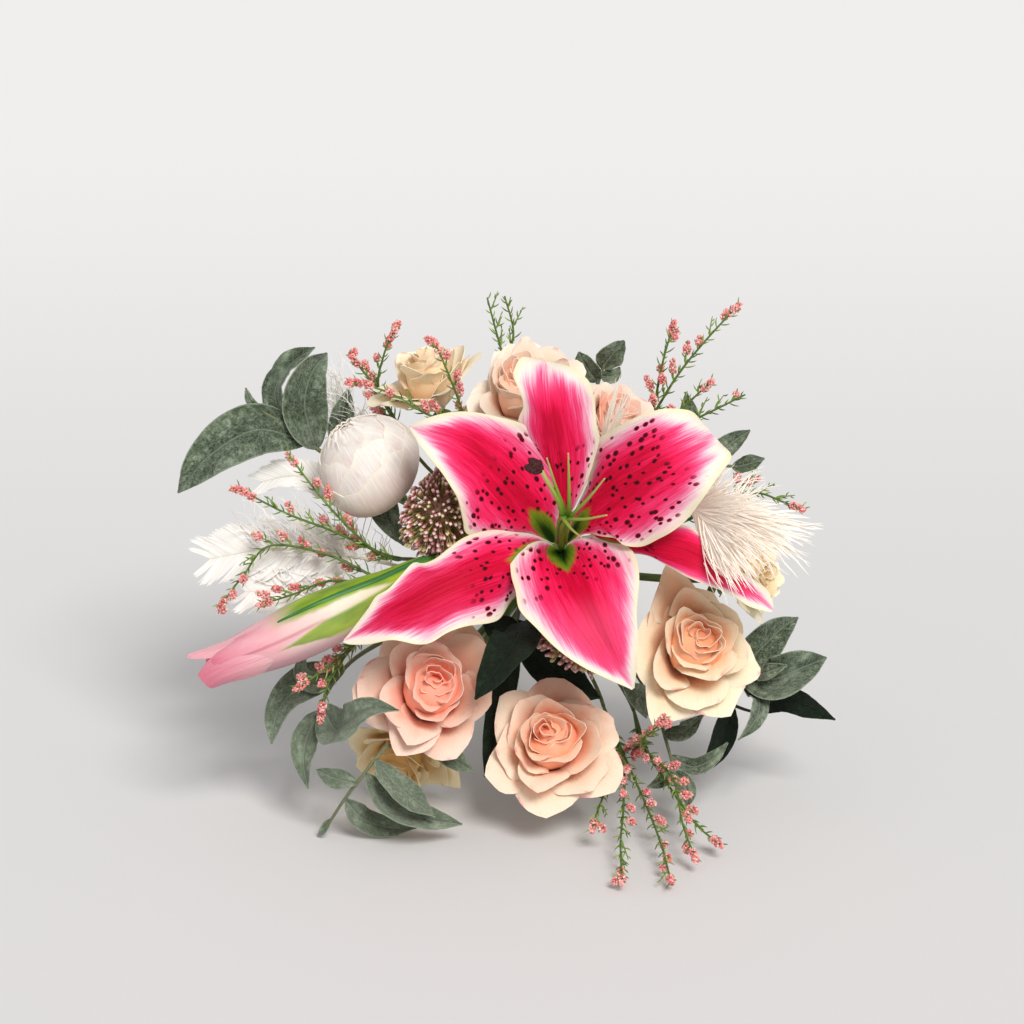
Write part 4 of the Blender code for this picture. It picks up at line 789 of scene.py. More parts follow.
# Each lip lies on the bud and runs on past its end: its midrib, its width, the way it faces, how blunt it is,
# from where to where along the bud it takes its colours, and how high, which also sets the painted mauve
# shade under it
LIPS = (
    ([(-112, -17, 52), (-124, -21.6, 52.6), (-139, -29.6, 51), (-157.5, -35.8, 47)],
     11, (-0.25, 0.75, 0.6), 1.0, 0.72, 0.80, 0.5),
    ([(-112, -33, 53), (-126, -38.2, 55.6), (-140, -43.4, 52.8), (-149.5, -48.4, 46.5)],
     17, (0.1, -0.45, 0.9), 0.88, 0.68, 1.0, -0.1),
    ([(-126, -33, 40), (-136, -38, 39), (-144, -42, 38), (-151, -44.5, 39)],
     12, (0.1, -0.3, 0.9), 0.95, 0.93, 1.0, -0.9),
)
for k, (midrib, width, facing, blunt, first, last, high) in enumerate(LIPS):
    midrib = smooth_path(midrib, LIP_STEPS)
    facing = unit(facing)
    along = np.linspace(0, 1, LIP_STEPS)
    half = width / 2 * np.sin((0.16 + (blunt - 0.16) * along) * math.pi) ** 0.7 + 0.3
    over = unit(np.cross(np.gradient(midrib, axis=0), facing))
    across = np.linspace(-1, 1, 15)
    grid = midrib[:, None] + half[:, None, None] * across[:, None] * over[:, None]
    # the sides wrap the bud, and the margin waves
    wrap = 0.62 * half[:, None] * np.abs(across[None, :]) ** 1.8
    wave = 0.5 * np.sin(along[:, None] * 9 + 2 * k + across[None, :]) * across[None, :] ** 2 * along[:, None]
    crease = 0.5 * np.exp(-((across[None, :] / 0.16) ** 2)) + 0 * half[:, None]
    grid = grid - (wrap + wave + crease)[..., None] * facing
    shape = sheet(grid, LIP_CLOTH, 0.3 * k)
    shape[2][:, 0] = first + (last - first) * shape[2][:, 0]
    shape[2][:, 1] = high
    parts.append((shape, 0))
# the bract follows the bud's top
spot = np.linspace(0.04, 0.70, LIP_STEPS)
rail = places_on(bud_body, bud_share, spot)
forward = np.gradient(rail, axis=0)
away = unit(np.cross(np.cross(forward, (0.12, 0.62, 0.78)), forward))
rail = rail + away * (np.interp(spot, bud_share, bud_radii) * 1.04 + 0.5)[:, None]
over = unit(np.cross(np.gradient(rail, axis=0), away))
half = 1.35 * np.sin(np.linspace(0.04, 1, LIP_STEPS) * math.pi) ** 0.7 + 0.1
across = np.linspace(-1, 1, 7)
grid = rail[:, None] + half[:, None, None] * across[:, None] * over[:, None]
grid = grid - (0.9 * across[None, :] ** 2 + 0 * half[:, None])[..., None] * away[:, None]
parts.append((sheet(grid, BRACT_CLOTH), 1))
bract_green = grained("bract_green", (1.6, 0.06), 3.0, tone(26, 84, 34), tone(72, 140, 60), 0.45, 0.3)
make_piece("lily_bud", "_silk", parts, [bud_finish(), bract_green])

# The roses.
# Eight silk garden roses. Each has a rolled heart, twenty-one petals glued in a spiral to a foam core, and
# six guard petals below them. Every petal stands inside the next ones out and folds its rim over them.
PETAL_COUNT = 21
GUARD_PETALS = 6
PETAL_CLOTH = 0.32
BLOOM_GAP = 2.0
PETAL_ROOM = 0.8
# outer petals, petals within, deep inside, rims; a second shade, which way it lies; how far the heart leans
ROSE_COLOURS = {
    "rose_front": (tone(251, 226, 202), tone(253, 200, 166), tone(252, 174, 140), tone(255, 230, 208),
                   tone(246, 166, 146), (0.35, 1.0, 0), (-0.10, 0.04)),
    "rose_left": (tone(250, 216, 196), tone(254, 186, 162), tone(255, 168, 144), tone(255, 224, 208),
                  tone(248, 194, 158), (1.0, 0.3, 0), (0.04, 0.14)),
    "rose_right": (tone(248, 232, 200), tone(250, 208, 170), tone(246, 174, 134), tone(254, 240, 216),
                   tone(242, 180, 144), (-0.5, 1.0, 0), (0.05, 0.10)),
    "rose_top": (tone(255, 238, 218), tone(255, 226, 202), tone(255, 206, 180), tone(255, 242, 228),
                 tone(255, 234, 208), (1.0, 0.5, 0), (0.0, 0.0)),
    "rose_upper_left": (tone(252, 238, 206), tone(254, 230, 194), tone(255, 218, 176), tone(254, 244, 222),
                        tone(254, 216, 172), (0.2, 1.0, 0), (0.0, 0.0)),
    "rose_upper_right": (tone(252, 222, 202), tone(250, 204, 182), tone(248, 186, 162), tone(254, 232, 218),
                         tone(250, 216, 200), (1.0, 0.2, 0), (0.0, 0.0)),
    "rose_far_right": (tone(250, 240, 210), tone(250, 228, 186), tone(248, 214, 160), tone(254, 246, 224),
                       tone(250, 236, 204), (1.0, 0.0, 0), (0.0, 0.0)),
    "rose_lower_left": (tone(250, 232, 186), tone(250, 216, 156), tone(248, 200, 132), tone(254, 240, 208),
                        tone(250, 232, 196), (-1.0, 0.0, 0), (0.0, 0.0)),
}
# outer petals that reach further than the rest: which ways, and by how much
FAR_PETALS = {
    "rose_front": ((-0.25, 1.0, 0.30), (-1.0, 0.1, 0.10), (1.0, 0.2, 0.08)),
    "rose_left": ((0.7, 0.8, 0.26), (-1.0, 0.3, 0.20), (0.9, -0.5, 0.10)),
    "rose_right": ((-0.3, 1.0, 0.25), (-0.75, 0.75, 0.28), (-0.3, -1.0, 0.08)),
    "rose_top": ((1.0, 0.2, 0.15), (-1.0, -0.6, 0.15)),
    "rose_upper_left": ((1.0, 0.7, 0.35), (-1.0, -0.2, 0.22)),
    "rose_lower_left": ((1.0, -0.4, 0.25), (-1.0, 0.2, 0.15)),
}
# how a petal changes from the heart outwards: how far out its rim lies, its slope there and half its width
PETAL_TURNS = (0, 4, 9, 14, 20, 21)
RIMS = (0.06, 0.20, 0.38, 0.62, 0.94, 1.04)
SLOPES = (96, 86, 68, 48, 22, -6)
SPREADS = (112, 96, 76, 60, 48, 46)
# the rolled heart: how high its rings stand and how wide they are, as shares of the bloom's radius
HEART_LEVELS = (0, 0.15, 0.35, 0.55, 0.72, 0.84, 0.89, 0.925, 0.94)
HEART_WIDTHS = (0.12, 0.28, 0.40, 0.43, 0.41, 0.36, 0.28, 0.18, 0.06)


def bloom_axes(name):
    """Axes of a bloom: its own z is the way it faces."""
    z = unit(BLOOMS[name][1])
    x = unit(np.cross((0.1, 1, 0.2), z))
    return np.stack([x, np.cross(z, x), z])


def pressed(name, grids):
    """Presses a bloom back from the planes that part it from its neighbours."""
    centre, _, radius = BLOOMS[name]
    grids = [grid.copy() for grid in grids]
    for other, (place, _, size) in BLOOMS.items():
        if other == name:
            continue
        away = np.subtract(place, centre).astype(float)
        distance = np.linalg.norm(away)
        limit = (distance**2 + radius**2 - size**2) / (2 * distance) - BLOOM_GAP / 2
        away /= distance
        reach = max(((grid - centre) @ away).max() for grid in grids) + PETAL_ROOM / 2
        if reach <= limit:
            continue
        start = 0.25 * limit
        share = (limit - start) / (reach - start)
        for grid in grids:
            excess = np.clip((grid - centre) @ away - start, 0, None)
            grid -= excess[..., None] * (1 - share) * away
    return grids


def rose_finish(name, outer, within, heart, rims, other, other_way):
    make = Finish(name + "_silk")
    share = make.marks("share")
    lay = make.marks("lay")
    # lay's third number grows from the outer petals to the heart
    depth = make.maths("DIVIDE", lay["Z"], GRAIN_APART)
    veins = make.noise(make.lay(1.3, 0.10, 3.0), 1.0, 4.0, 0.6)
    cloud = make.noise(make.lay(0.10, 0.08, 5.0), 1.0, 2.0)
    inner = make.plus(depth, make.times(make.less(cloud, 0.5), 0.7))
    colour = make.ramp(inner, (0.15, outer), (0.50, within), (0.95, heart))
    size = BLOOMS[name][2]
    over = make.maths("DIVIDE", make.toward(other_way, BLOOMS[name][0]), size)
    over = make.plus(over, make.times(make.less(cloud, 0.5), 1.2))
    colour = make.wash(colour, make.step(over, 0.15, 0.95), 0.75, other)
    # each petal's foot takes the deep inside colour: partly the silk's own richer tint, partly painted shade
    # deep in the bloom
    low = make.step(share["X"], 0.96, 0.52)
    colour = make.wash(colour, low, 0.72, heart)
    aside = make.size(share["Y"])
    rim = make.maths("MAXIMUM", make.step(share["X"], 0.86, 0.99), make.step(aside, 0.84, 1.0))
    colour = make.wash(colour, rim, 0.50, rims)
    blush = make.times(make.step(share["X"], 0.95, 1.0), make.step(cloud, 0.55, 0.68))
    colour = make.wash(colour, blush, 0.6, tone(224, 84, 122))
    colour = make.wash(colour, make.step(veins, 0.60, 0.40), 0.16, within)
    weave = make.noise(make.lay(4.0, 4.0), 1.0, 1.0)
    height = make.maths("MULTIPLY_ADD", weave, 0.2, veins)
    return make.done(colour, 0.66, height, 0.30, through=(0.12, (0.004, 0.002, 0.0015), 0.5),
                     Sheen_Weight=0.04, Specular_IOR_Level=0.12)


def rose_petal(size, k, turn, lean, far, chance):
    """One petal, from its foot to its rolled lip: a bowl, steep in the heart and flatter outside."""
    guard = k >= PETAL_COUNT
    k = min(k, PETAL_COUNT)
    # 0 in the heart, 1 at the outermost petals
    outward = k / PETAL_COUNT
    loose = np.interp(k, (0, 3, 12, 18), (0.6, 2.2, 1.6, 1.0))
    rim = np.interp(k, PETAL_TURNS, RIMS) * (1 + 0.05 * loose * chance.uniform(-1, 1))
    if outward > 0.7:
        rim = rim * (1 + max([0, *(more * max(0.0, math.cos(turn - way)) ** 2 for way, more in far)]))
    slope = math.radians(np.interp(k, PETAL_TURNS, SLOPES) + loose * chance.uniform(-9, 9))
    spread = math.radians(np.interp(k, PETAL_TURNS, SPREADS) + chance.uniform(-6, 6))
    dome = math.sqrt(max(0.04, 1 - (rim / 1.06) ** 2))
    top = 0.46 + 0.66 * dome - 0.11 * guard + chance.uniform(-0.035, 0.03)
    foot = np.array([0.06, np.interp(k, (0, 5, 18), (0.45, 0.22, 0.04))])
    end = np.array([rim, top])
    pull = 0.55 * np.linalg.norm(end - foot)
    arrival = end - pull * np.array([math.cos(slope), math.sin(slope)])
    curve = (foot, foot + (0.55 * (rim - 0.06), 0.05), arrival, end)
    along = np.linspace(0, 1, 14 if k < 9 else 18)[:, None]
    across = np.linspace(1, -1, 15)[None, :]
    aside = np.abs(across)
    # the outline: a blunt point in the heart's petals, a sharper one outside, and rounded shoulders
    short = 0.05 * aside**2 + 0.17 * aside**5 + 0.12 * outward * (1 - (1 - aside) ** 1.5)
    reach = along * (1 - short)
    weights = ((1 - reach) ** 3, 3 * reach * (1 - reach) ** 2, 3 * reach**2 * (1 - reach), reach**3)
    radius, rise = (sum(weight * point[k] for weight, point in zip(weights, curve)) for k in (0, 1))
    angle = turn + spread * across * (0.40 + 0.60 * along**0.5)
    # the lip rolls out and down, most at the shoulders; one side lies outside its neighbour
    lip = np.clip((along - 0.80) / 0.20, 0, 1)
    roll = chance.uniform(0.2, 1.3) * (0.45 + 0.8 * aside**2)
    radius = radius + (0.012 + 0.035 * outward) * roll * lip + 0.030 * across * np.clip(reach / 0.5, 0, 1)
    rise = rise - min(1.0, 2 * outward) * 0.075 * roll * lip**2 + 0.022 * across * reach
    # the sides cup up, and the cloth ripples
    rise = rise + 0.07 * outward * aside**2 * reach * np.clip(1.2 - lip, 0, 1)
    phase = chance.uniform(0, 2 * math.pi, 3)
    wave = 0.032 * np.sin(across * 3.6 + phase[0]) + 0.016 * np.sin(across * 8.5 + phase[1])
    radius = radius + wave * (outward + 0.9 * (loose - 0.6)) * reach**3
    rise = rise + wave * (0.3 + outward + 0.9 * (loose - 0.6)) * reach**3
    rise = rise + 0.012 * np.sin(across * 5 + 6 * reach + phase[2]) * outward * reach
    radius = radius * (1 + 0.03 * np.sin(3 * angle + 1.7))
    shift = (1 - np.clip(radius, 0, 1)) * np.clip(rise, 0, 1)
    x = radius * np.cos(angle) + lean[0] * shift
    y = radius * np.sin(angle) + lean[1] * shift
    return size * np.stack([x, y, rise + 0 * angle], axis=-1)


GOLDEN_TURN = math.pi * (3 - math.sqrt(5))
for count, (name, (*colours, lean)) in enumerate(ROSE_COLOURS.items()):
    chance = np.random.default_rng(71 + count)
    size = BLOOMS[name][2]
    axes = bloom_axes(name)
    start = chance.uniform(0, 2 * math.pi)
    grids = []
    far = []
    for right, up, more in FAR_PETALS.get(name, ()):
        turned = np.array([right, up, 0.0]) @ axes.T
        far.append((math.atan2(turned[1], turned[0]), more))
    for k in range(PETAL_COUNT + GUARD_PETALS):
        turn = start + k * GOLDEN_TURN + chance.uniform(-0.15, 0.15)
        if k >= PETAL_COUNT:
            turn = start + k * 2 * math.pi / GUARD_PETALS + chance.uniform(-0.15, 0.15)
        grids.append(hub_point(name) + rose_petal(size, k, turn, lean, far, chance) @ axes)
    heart_path = hub_point(name) + np.outer(np.array(HEART_LEVELS) * size, axes[2])
    lean_way = np.array([*lean, 0.0]) @ axes
    heart_path = heart_path + np.linspace(0, size, len(HEART_LEVELS))[:, None] * lean_way
    points, groups, share, lay = tubes([heart_path], size * np.array(HEART_WIDTHS), 16)
    share[:, 0] = 0.1
    share[:, 1] = 0.0
    lay[:, 2] = GRAIN_APART
    grids = pressed(name, [points, *grids])
    parts = [((grids[0], groups, share, lay), 0)]
    for k, grid in enumerate(grids[1:]):
        parts.append((sheet(grid, PETAL_CLOTH, max(0.0, 1 - k / (PETAL_COUNT - 1))), 0))
    make_piece(name, "_petals", parts, [rose_finish(name, *colours)])

# The peony.
# A closed peony ball: broad cupped silk petals, white with a faint blush, close over each other round a foam
# core. Their rims meet at the top in a few frills.
def peony_finish():
    make = Finish("peony_silk")
    share = make.marks("share")
    veins = make.noise(make.lay(0.9, 0.05, 3.0), 1.0, 4.0, 0.6)
    cloud = make.noise(make.lay(0.13, 0.10, 4.0), 1.0, 4.0, 0.62)
    colour = make.ramp(cloud, (0.34, tone(233, 228, 219)), (0.52, tone(231, 220, 210)),
                       (0.72, tone(232, 203, 193)))
    # painted highlight: each petal's rim is painted paler
    rim = make.times(make.step(share["X"], 0.90, 1.0), 0.6)
    colour = make.mixed(rim, colour, tone(250, 240, 222))
    # painted shade: each petal darkens towards its foot, at the base of the ball
    foot = make.step(share["X"], 0.35, 0.0)
    colour = make.wash(colour, foot, 0.5, tone(226, 206, 190))
    colour = make.mixed(make.step(veins, 0.80, 0.40), tone(252, 242, 238), colour)
    # painted shade: the lower right side of the ball is washed a warm pink
    lower = make.step(make.toward((0.6, -1.0, 0.0), BLOOMS["peony"][0]), 0.0, 26.0)
    colour = make.wash(colour, lower, 0.55, tone(244, 206, 192))
    return make.done(colour, 0.74, veins, 0.14, through=(0.12, (0.006, 0.004, 0.003), 0.4),
                     Sheen_Weight=0.15, Specular_IOR_Level=0.15)


chance = np.random.default_rng(5)
size = BLOOMS["peony"][2]
axes = bloom_axes("peony")
# the petals close over the crown, which leans to the upper left
CROWN_LEAN = math.radians(46.0)
CROWN_WAY = unit((-0.75, 0.66, 0.0))
PEONY_CLOTH = 0.55
# each layer: petals, radius, how far they close, and half the width of each
PEONY_LAYERS = ((5, 0.900, 2.98, 70), (5, 0.924, 2.74, 66), (5, 0.948, 2.40, 64), (4, 0.972, 2.00, 66))
FRILLS = 9
CORE_RINGS, CORE_SIDES = 16, 24


def crowned(radius, arc, angle):
    """Points on a ball whose meridians run from its foot to the leaning crown."""
    flat = np.stack([np.sin(arc) * np.cos(angle), np.sin(arc) * np.sin(angle), -np.cos(arc)], axis=-1)
    lean = (CROWN_LEAN * np.clip(arc / math.pi, 0, 1))[..., None]
    axis = np.cross((0, 0, 1), CROWN_WAY)
    turned = flat * np.cos(lean) + np.cross(axis, flat) * np.sin(lean)
    turned = turned + axis * np.sum(flat * axis, axis=-1, keepdims=True) * (1 - np.cos(lean))
    return (turned * np.asarray(radius)[..., None] * (1, 1, 0.90) + (0, 0, 0.66)) * size


core_turn = np.linspace(0, 2 * math.pi, CORE_SIDES, endpoint=False)
core_arc, core_turn = np.meshgrid(np.linspace(0.25, 3.1, CORE_RINGS), core_turn, indexing="ij")
rings = crowned(np.full_like(core_arc, 0.880), core_arc, core_turn).reshape(-1, 3)
core_points = np.vstack([rings, rings[:CORE_SIDES].mean(axis=0), rings[-CORE_SIDES:].mean(axis=0)])
# only the faces and marks of this plain rod are used
_, groups, share, lay = tubes([np.linspace((0, 0, 0), (0, 0, 1), CORE_RINGS)], 1.0, CORE_SIDES)
share[:, 0] = 0.6
grids = [hub_point("peony") + core_points @ axes]
for petals, rim, closing, wide in PEONY_LAYERS:
    for k in range(petals):
        along = np.linspace(0, 1, 20)[:, None]
        across = np.linspace(1, -1, 15)[None, :]
        turn = 2 * math.pi * k / petals + 7.3 * rim
        angle = turn + math.radians(wide) * across + chance.uniform(-0.12, 0.12)
        fray = 0.06 * np.sin(across * 4 + 2 * k) + 0.03 * np.sin(across * 11 + k)
        arc = 0.12 + along * (closing - 0.12 - 0.30 * across**2 - 0.12 * across**6 + fray)
        ruffle = 0.005 * np.sin(across * 7 + 3 * k + 4 * along) * along - 0.008 * across * along
        open_edge = 0.008 * np.clip((along - 0.80) / 0.20, 0, 1) ** 2 * chance.uniform(0.3, 1.3)
        grid = crowned(rim + ruffle + open_edge, arc, angle + 0 * arc)
        grid[..., 2] = np.maximum(grid[..., 2], 0.02 * size)
        grids.append(hub_point("peony") + grid @ axes)
# a few frilled petal tips stand in the crown
for k in range(FRILLS):
    along = np.linspace(0, 1, 9)[:, None]
    across = np.linspace(1, -1, 13)[None, :]
    angle = 2 * math.pi * k / FRILLS + math.radians(34) * across + chance.uniform(-0.3, 0.3)
    arc = chance.uniform(2.50, 2.66) + along * (chance.uniform(0.26, 0.40) - 0.12 * across**2)
    frill = 0.020 * np.sin(across * chance.uniform(5, 9) + k) * along
    lip = chance.uniform(0.03, 0.09) * along**2
    grid = crowned(0.915 + frill + lip, arc, angle + 0 * arc)
    grids.append(hub_point("peony") + grid @ axes)
grids = pressed("peony", grids)
parts = [((grids[0], groups, share, lay), 0)]
parts += [(sheet(grid, PEONY_CLOTH, k * 0.137 % 1), 0) for k, grid in enumerate(grids[1:])]
make_piece("peony", "_petals", parts, [peony_finish()])

# The alliums.
# Two round heads of some five hundred closed florets each. Every floret is an olive stalk with a mauve bud,
# pale pink at its tip, pushed into a small foam ball.
FLORETS = 560
# a floret's rings: how far out of the head they stand, as a share, and how thick they are, in millimetres
FLORET_STEPS = np.array([0.42, 0.80, 0.86, 0.90, 0.95, 0.985, 1.0])
FLORET_RADII = np.array([0.30, 0.30, 0.50, 0.90, 0.95, 0.72, 0.28])
CORE_STEPS = np.linspace(0.02, 1.1, 13)


def floret_finish():
    make = Finish("allium_buds")
    share = make.marks("share")
    speck = make.noise(make.lay(1.5, 1.5), 1.0, 2.0)
    # olive stalk, mauve bud and pale pink tip; the very end is whitened as a painted highlight
    colour = make.ramp(
        share["X"],
        (0.0, tone(104, 108, 44)),
        (0.30, tone(190, 178, 104)),
        (0.42, tone(150, 80, 84)),
        (0.56, tone(182, 106, 110)),
        (0.72, tone(236, 188, 182)),
        (0.88, tone(252, 232, 222)),
    )
    olive = make.mixed(share["X"], tone(118, 118, 48), tone(218, 206, 140))
    young = make.times(make.maths("GREATER_THAN", share["Z"], 0.78), 0.8)
    colour = make.mixed(young, colour, olive)
    rosy = make.times(make.maths("LESS_THAN", share["Z"], 0.25), 0.5)
    colour = make.mixed(rosy, colour, tone(196, 104, 128))
    return make.done(colour, 0.5, speck, 0.15, Specular_IOR_Level=0.4)


for count, name in enumerate(("allium_left", "allium_front")):
    chance = np.random.default_rng(300 + count)
    size = BLOOMS[name][2]
    axes = bloom_axes(name)
    k = np.arange(FLORETS) + 0.5
    height = 1 - 2 * k / FLORETS * 0.86
    turn = k * GOLDEN_TURN
    level = np.sqrt(1 - height**2)
    ways = unit(np.stack([level * np.cos(turn), level * np.sin(turn), height], axis=1)
                + chance.normal(0, 0.055, (FLORETS, 3)))
    lengths = np.where(np.arange(FLORETS) % 3 == 0, 0.88, 1.0) + chance.uniform(-0.05, 0.05, FLORETS)
    steps = FLORET_STEPS[None, :, None]
    swing = chance.normal(0, 0.02, (FLORETS, 1, 3)) * (steps > 0.82)
    stalks = (ways[:, None] * steps + swing * steps) * lengths[:, None, None]
    stalks = hub_point(name) + size * (1.07 * stalks + (0, 0, HUB_DEPTH)) @ axes
    radii = FLORET_RADII * chance.uniform(0.8, 1.12, (FLORETS, 1))
    points, groups, share, lay = tubes(stalks, radii, 4, chances=chance.uniform(0, 1, FLORETS))
    core_path = hub_point(name) + size * np.outer(CORE_STEPS, axes[2])
    core_radii = size * 0.50 * np.sqrt(np.clip(1 - ((CORE_STEPS - 0.56) / 0.545) ** 2, 0.02, 1))
    core = tubes([core_path], core_radii, 18)
    core[2][:, 0] = 0.1
    squeezed = pressed(name, [points, core[0]])
    parts = [((squeezed[0], groups, share, lay), 0), ((squeezed[1], *core[1:]), 0)]
    make_piece(name, "_florets", parts, [floret_finish()])

# The sage stems.
# Seven felted stems of sage leaves fill the rim. Each leaf is flocked cloth, pressed with veins over a wire
# and heat-bonded to its twig.
LEAF_CLOTH = 0.45
VEIN_GAP = 5.4
# Each stem: its twig, then its leaves, each with its midrib, its width and the way it faces
SAGE = {
    "sage_upper_left": ([(-82, 44, -22), (-100, 56, -6), (-118, 69, 1), (-129, 76, 3)], [
        ([(-106, 60, -2), (-128, 66, 5), (-149, 55, 7), (-165, 37, 3)], 25, (0.1, 0.2, 1)),
        ([(-116, 68, 0), (-121, 83, -3), (-114, 96, -6), (-103, 104, -8)], 15, (-0.6, 0.2, 0.8)),
        ([(-102, 57, -5), (-107, 76, 5), (-104, 91, 7), (-97, 101, 2)], 21, (0.1, 0, 1)),
        ([(-92, 52, -14), (-91, 70, -12), (-88, 85, -13)], 14, (0.4, 0, 1)),
        ([(-127, 75, 3), (-132, 79, 4), (-134, 85, 4)], 4, (0, 0.3, 1)),
        ([(-83, 45, -21), (-76, 37, -10), (-69, 24, -4), (-62, 13, -3)], 15, (0.2, 0, 1)),
    ]),
    "sage_top": ([(18, 66, -34), (25, 82, -22), (29, 94, -14), (32, 101, -10)], [
        ([(29, 94, -14), (33, 100, -9), (39, 107, -9)], 13, (0.3, -0.2, 1)),
        ([(27, 88, -18), (21, 96, -14), (18, 102, -14)], 12, (-0.4, 0, 1)),
        ([(28, 91, -16), (34, 91, -14), (37, 95, -14)], 7, (0, 0.2, 1)),
    ]),
    "sage_right": ([(46, 44, -32), (64, 52, -18), (80, 50, -8), (92, 49, -6)], [
        ([(88, 49, -7), (94, 50, -4), (103, 53, -4)], 8, (0, 0.3, 1)),
        ([(66, 52, -17), (70, 66, -24), (68, 84, -26)], 12, (-0.3, 0, 1)),
        ([(76, 51, -10), (88, 60, -12), (97, 66, -15)], 10, (0.1, 0, 1)),
    ]),
    "sage_lower_right": ([(56, -36, -46), (82, -45, -22), (92, -46, -8), (100, -46, 0)], [
        ([(88, -46, -14), (100, -36, -10), (110, -26, -10), (119, -20, -13)], 17, (-0.1, 0, 1)),
        ([(94, -46, -6), (106, -48, 4), (118, -43, 6), (131, -38, 2)], 20, (0, 0.15, 1)),
        ([(98, -46, 0), (104, -44, 12), (112, -41, 15)], 8, (0, 0.3, 1)),
        ([(92, -46, -8), (100, -56, 2), (98, -66, 12), (90, -75, 16)], 10, (0.3, -0.3, 1)),
    ]),
    "sage_low_right": ([(44, -44, -60), (54, -62, -28), (58, -76, -12), (62, -91, 2)], [
        ([(57, -73, -15), (66, -72, -4), (75, -64, 0)], 9, (0, 0.4, 1)),
        ([(60, -83, -6), (70, -88, 0), (79, -84, 2), (86, -77, 0)], 8, (0.1, 0.2, 1)),
        ([(62, -90, 1), (67, -98, 8), (67, -106, 12)], 9, (0.2, 0, 1)),
        ([(61, -87, -1), (56, -94, 4), (49, -97, 6)], 7, (-0.3, 0, 1)),
        ([(54, -62, -28), (50, -58, -14), (44, -54, -1), (37, -49, 9)], 15, (0.3, -0.2, 1)),
    ]),
    "sage_left": ([(-66, -28, -48), (-86, -40, -18), (-97, -54, -4), (-101, -66, 2)], [
        ([(-89, -43, -14), (-108, -50, -2), (-119, -62, 6), (-122, -77, 10)], 17, (-0.2, 0.1, 1)),
        ([(-100, -62, 0), (-106, -74, 9), (-107, -86, 14), (-105, -97, 16)], 12, (-0.3, 0.1, 1)),
        ([(-95, -50, -6), (-104, -49, 6), (-108, -43, 13), (-106, -35, 15)], 10, (-0.3, 0.2, 1)),
        ([(-99, -60, 0), (-93, -70, 16), (-88, -68, 32), (-76, -60, 45), (-63, -60, 49)],
         19, (-0.4, 0.5, 0.8)),
    ]),
    "sage_low_front": ([(-38, -56, -44), (-58, -75, 8), (-70, -78, 26), (-78, -88, 30), (-88, -101, 24),
                        (-97, -115, 12)], [
        ([(-74, -83, 29), (-68, -90, 34), (-58, -100, 34), (-47, -109, 28)], 13, (0.3, 0.5, 0.8)),
        ([(-79, -89, 30), (-68, -103, 26), (-52, -110, 22), (-35, -113, 18)], 14, (0.2, 0.3, 1)),
        ([(-88, -101, 24), (-80, -111, 13), (-68, -115.2, 10), (-56, -115.2, 9)], 11.4, (-0.1, 0.4, 1)),
        ([(-82, -94, 28), (-92, -92, 26), (-101, -88, 22)], 10, (0, 0.4, 1)),
        ([(-95, -111, 14), (-99, -117, 11), (-101, -118.5, 9)], 4, (0, 0.4, 1)),
        ([(-50, -68, -13), (-44, -79, -2), (-37, -86, 2), (-30, -90, 0)], 13, (0.1, 0.1, 1)),
    ]),
}


def width_share(along, widest, blunt):
    """How wide a leaf is along its length, as a share of its greatest width."""
    rise = blunt * widest / (1 - widest)
    along = np.clip(along, 0.004, 0.996)
    return along**rise * (1 - along) ** blunt / (widest**rise * (1 - widest) ** blunt)


def leaf_grid(midrib, width, face, rows, columns, widest, blunt, fold, seed):
    """A leaf's middle surface on its midrib: sides folded up, margin wavy, veins pressed in."""
    chance = np.random.default_rng(seed)
    spine = smooth_path(midrib, rows)
    along = np.linspace(0, 1, rows)
    tangent = unit(np.gradient(spine, axis=0))
    side = unit(np.cross(tangent, unit(face)))
    normal = np.cross(side, tangent)
    across = np.linspace(1, -1, columns)
    half = np.maximum(width_share(along, widest, blunt) * width / 2, 0.35)[:, None]
    phase = chance.uniform(0, 2 * math.pi, 2)
    wave = 0.17 * np.abs(across) * np.sin(6 * along[:, None] + phase[(across > 0).astype(int)])
    margin = 0.055 * np.abs(across) ** 3 * np.sin(26 * along[:, None] + phase[0] + across)
    veins = np.abs(np.sin((along[:, None] * 9 - np.abs(across) * 1.1) * math.pi)) ** 0.5 - 0.7
    # the halves fold up from the rib by their own amounts, and more towards the tip
    folds = fold * chance.uniform(0.6, 1.6, 2)[(across > 0).astype(int)] * (0.7 + 0.6 * along[:, None])
    bowl = 0.16 * np.sin(along[:, None] * 11 + phase[1] + 1.4 * across) * np.abs(across)
    lift = half * (folds * np.abs(across) ** 1.35 + wave * 1.5 + margin + bowl)
    lift = lift + 0.70 * veins * np.abs(across) ** 0.5 * np.minimum(half / 4, 1)
    lift = lift - 0.30 * np.exp(-((across * half / 0.8) ** 2))
    return spine[:, None] + (across * half)[..., None] * side[:, None] + lift[..., None] * normal[:, None]


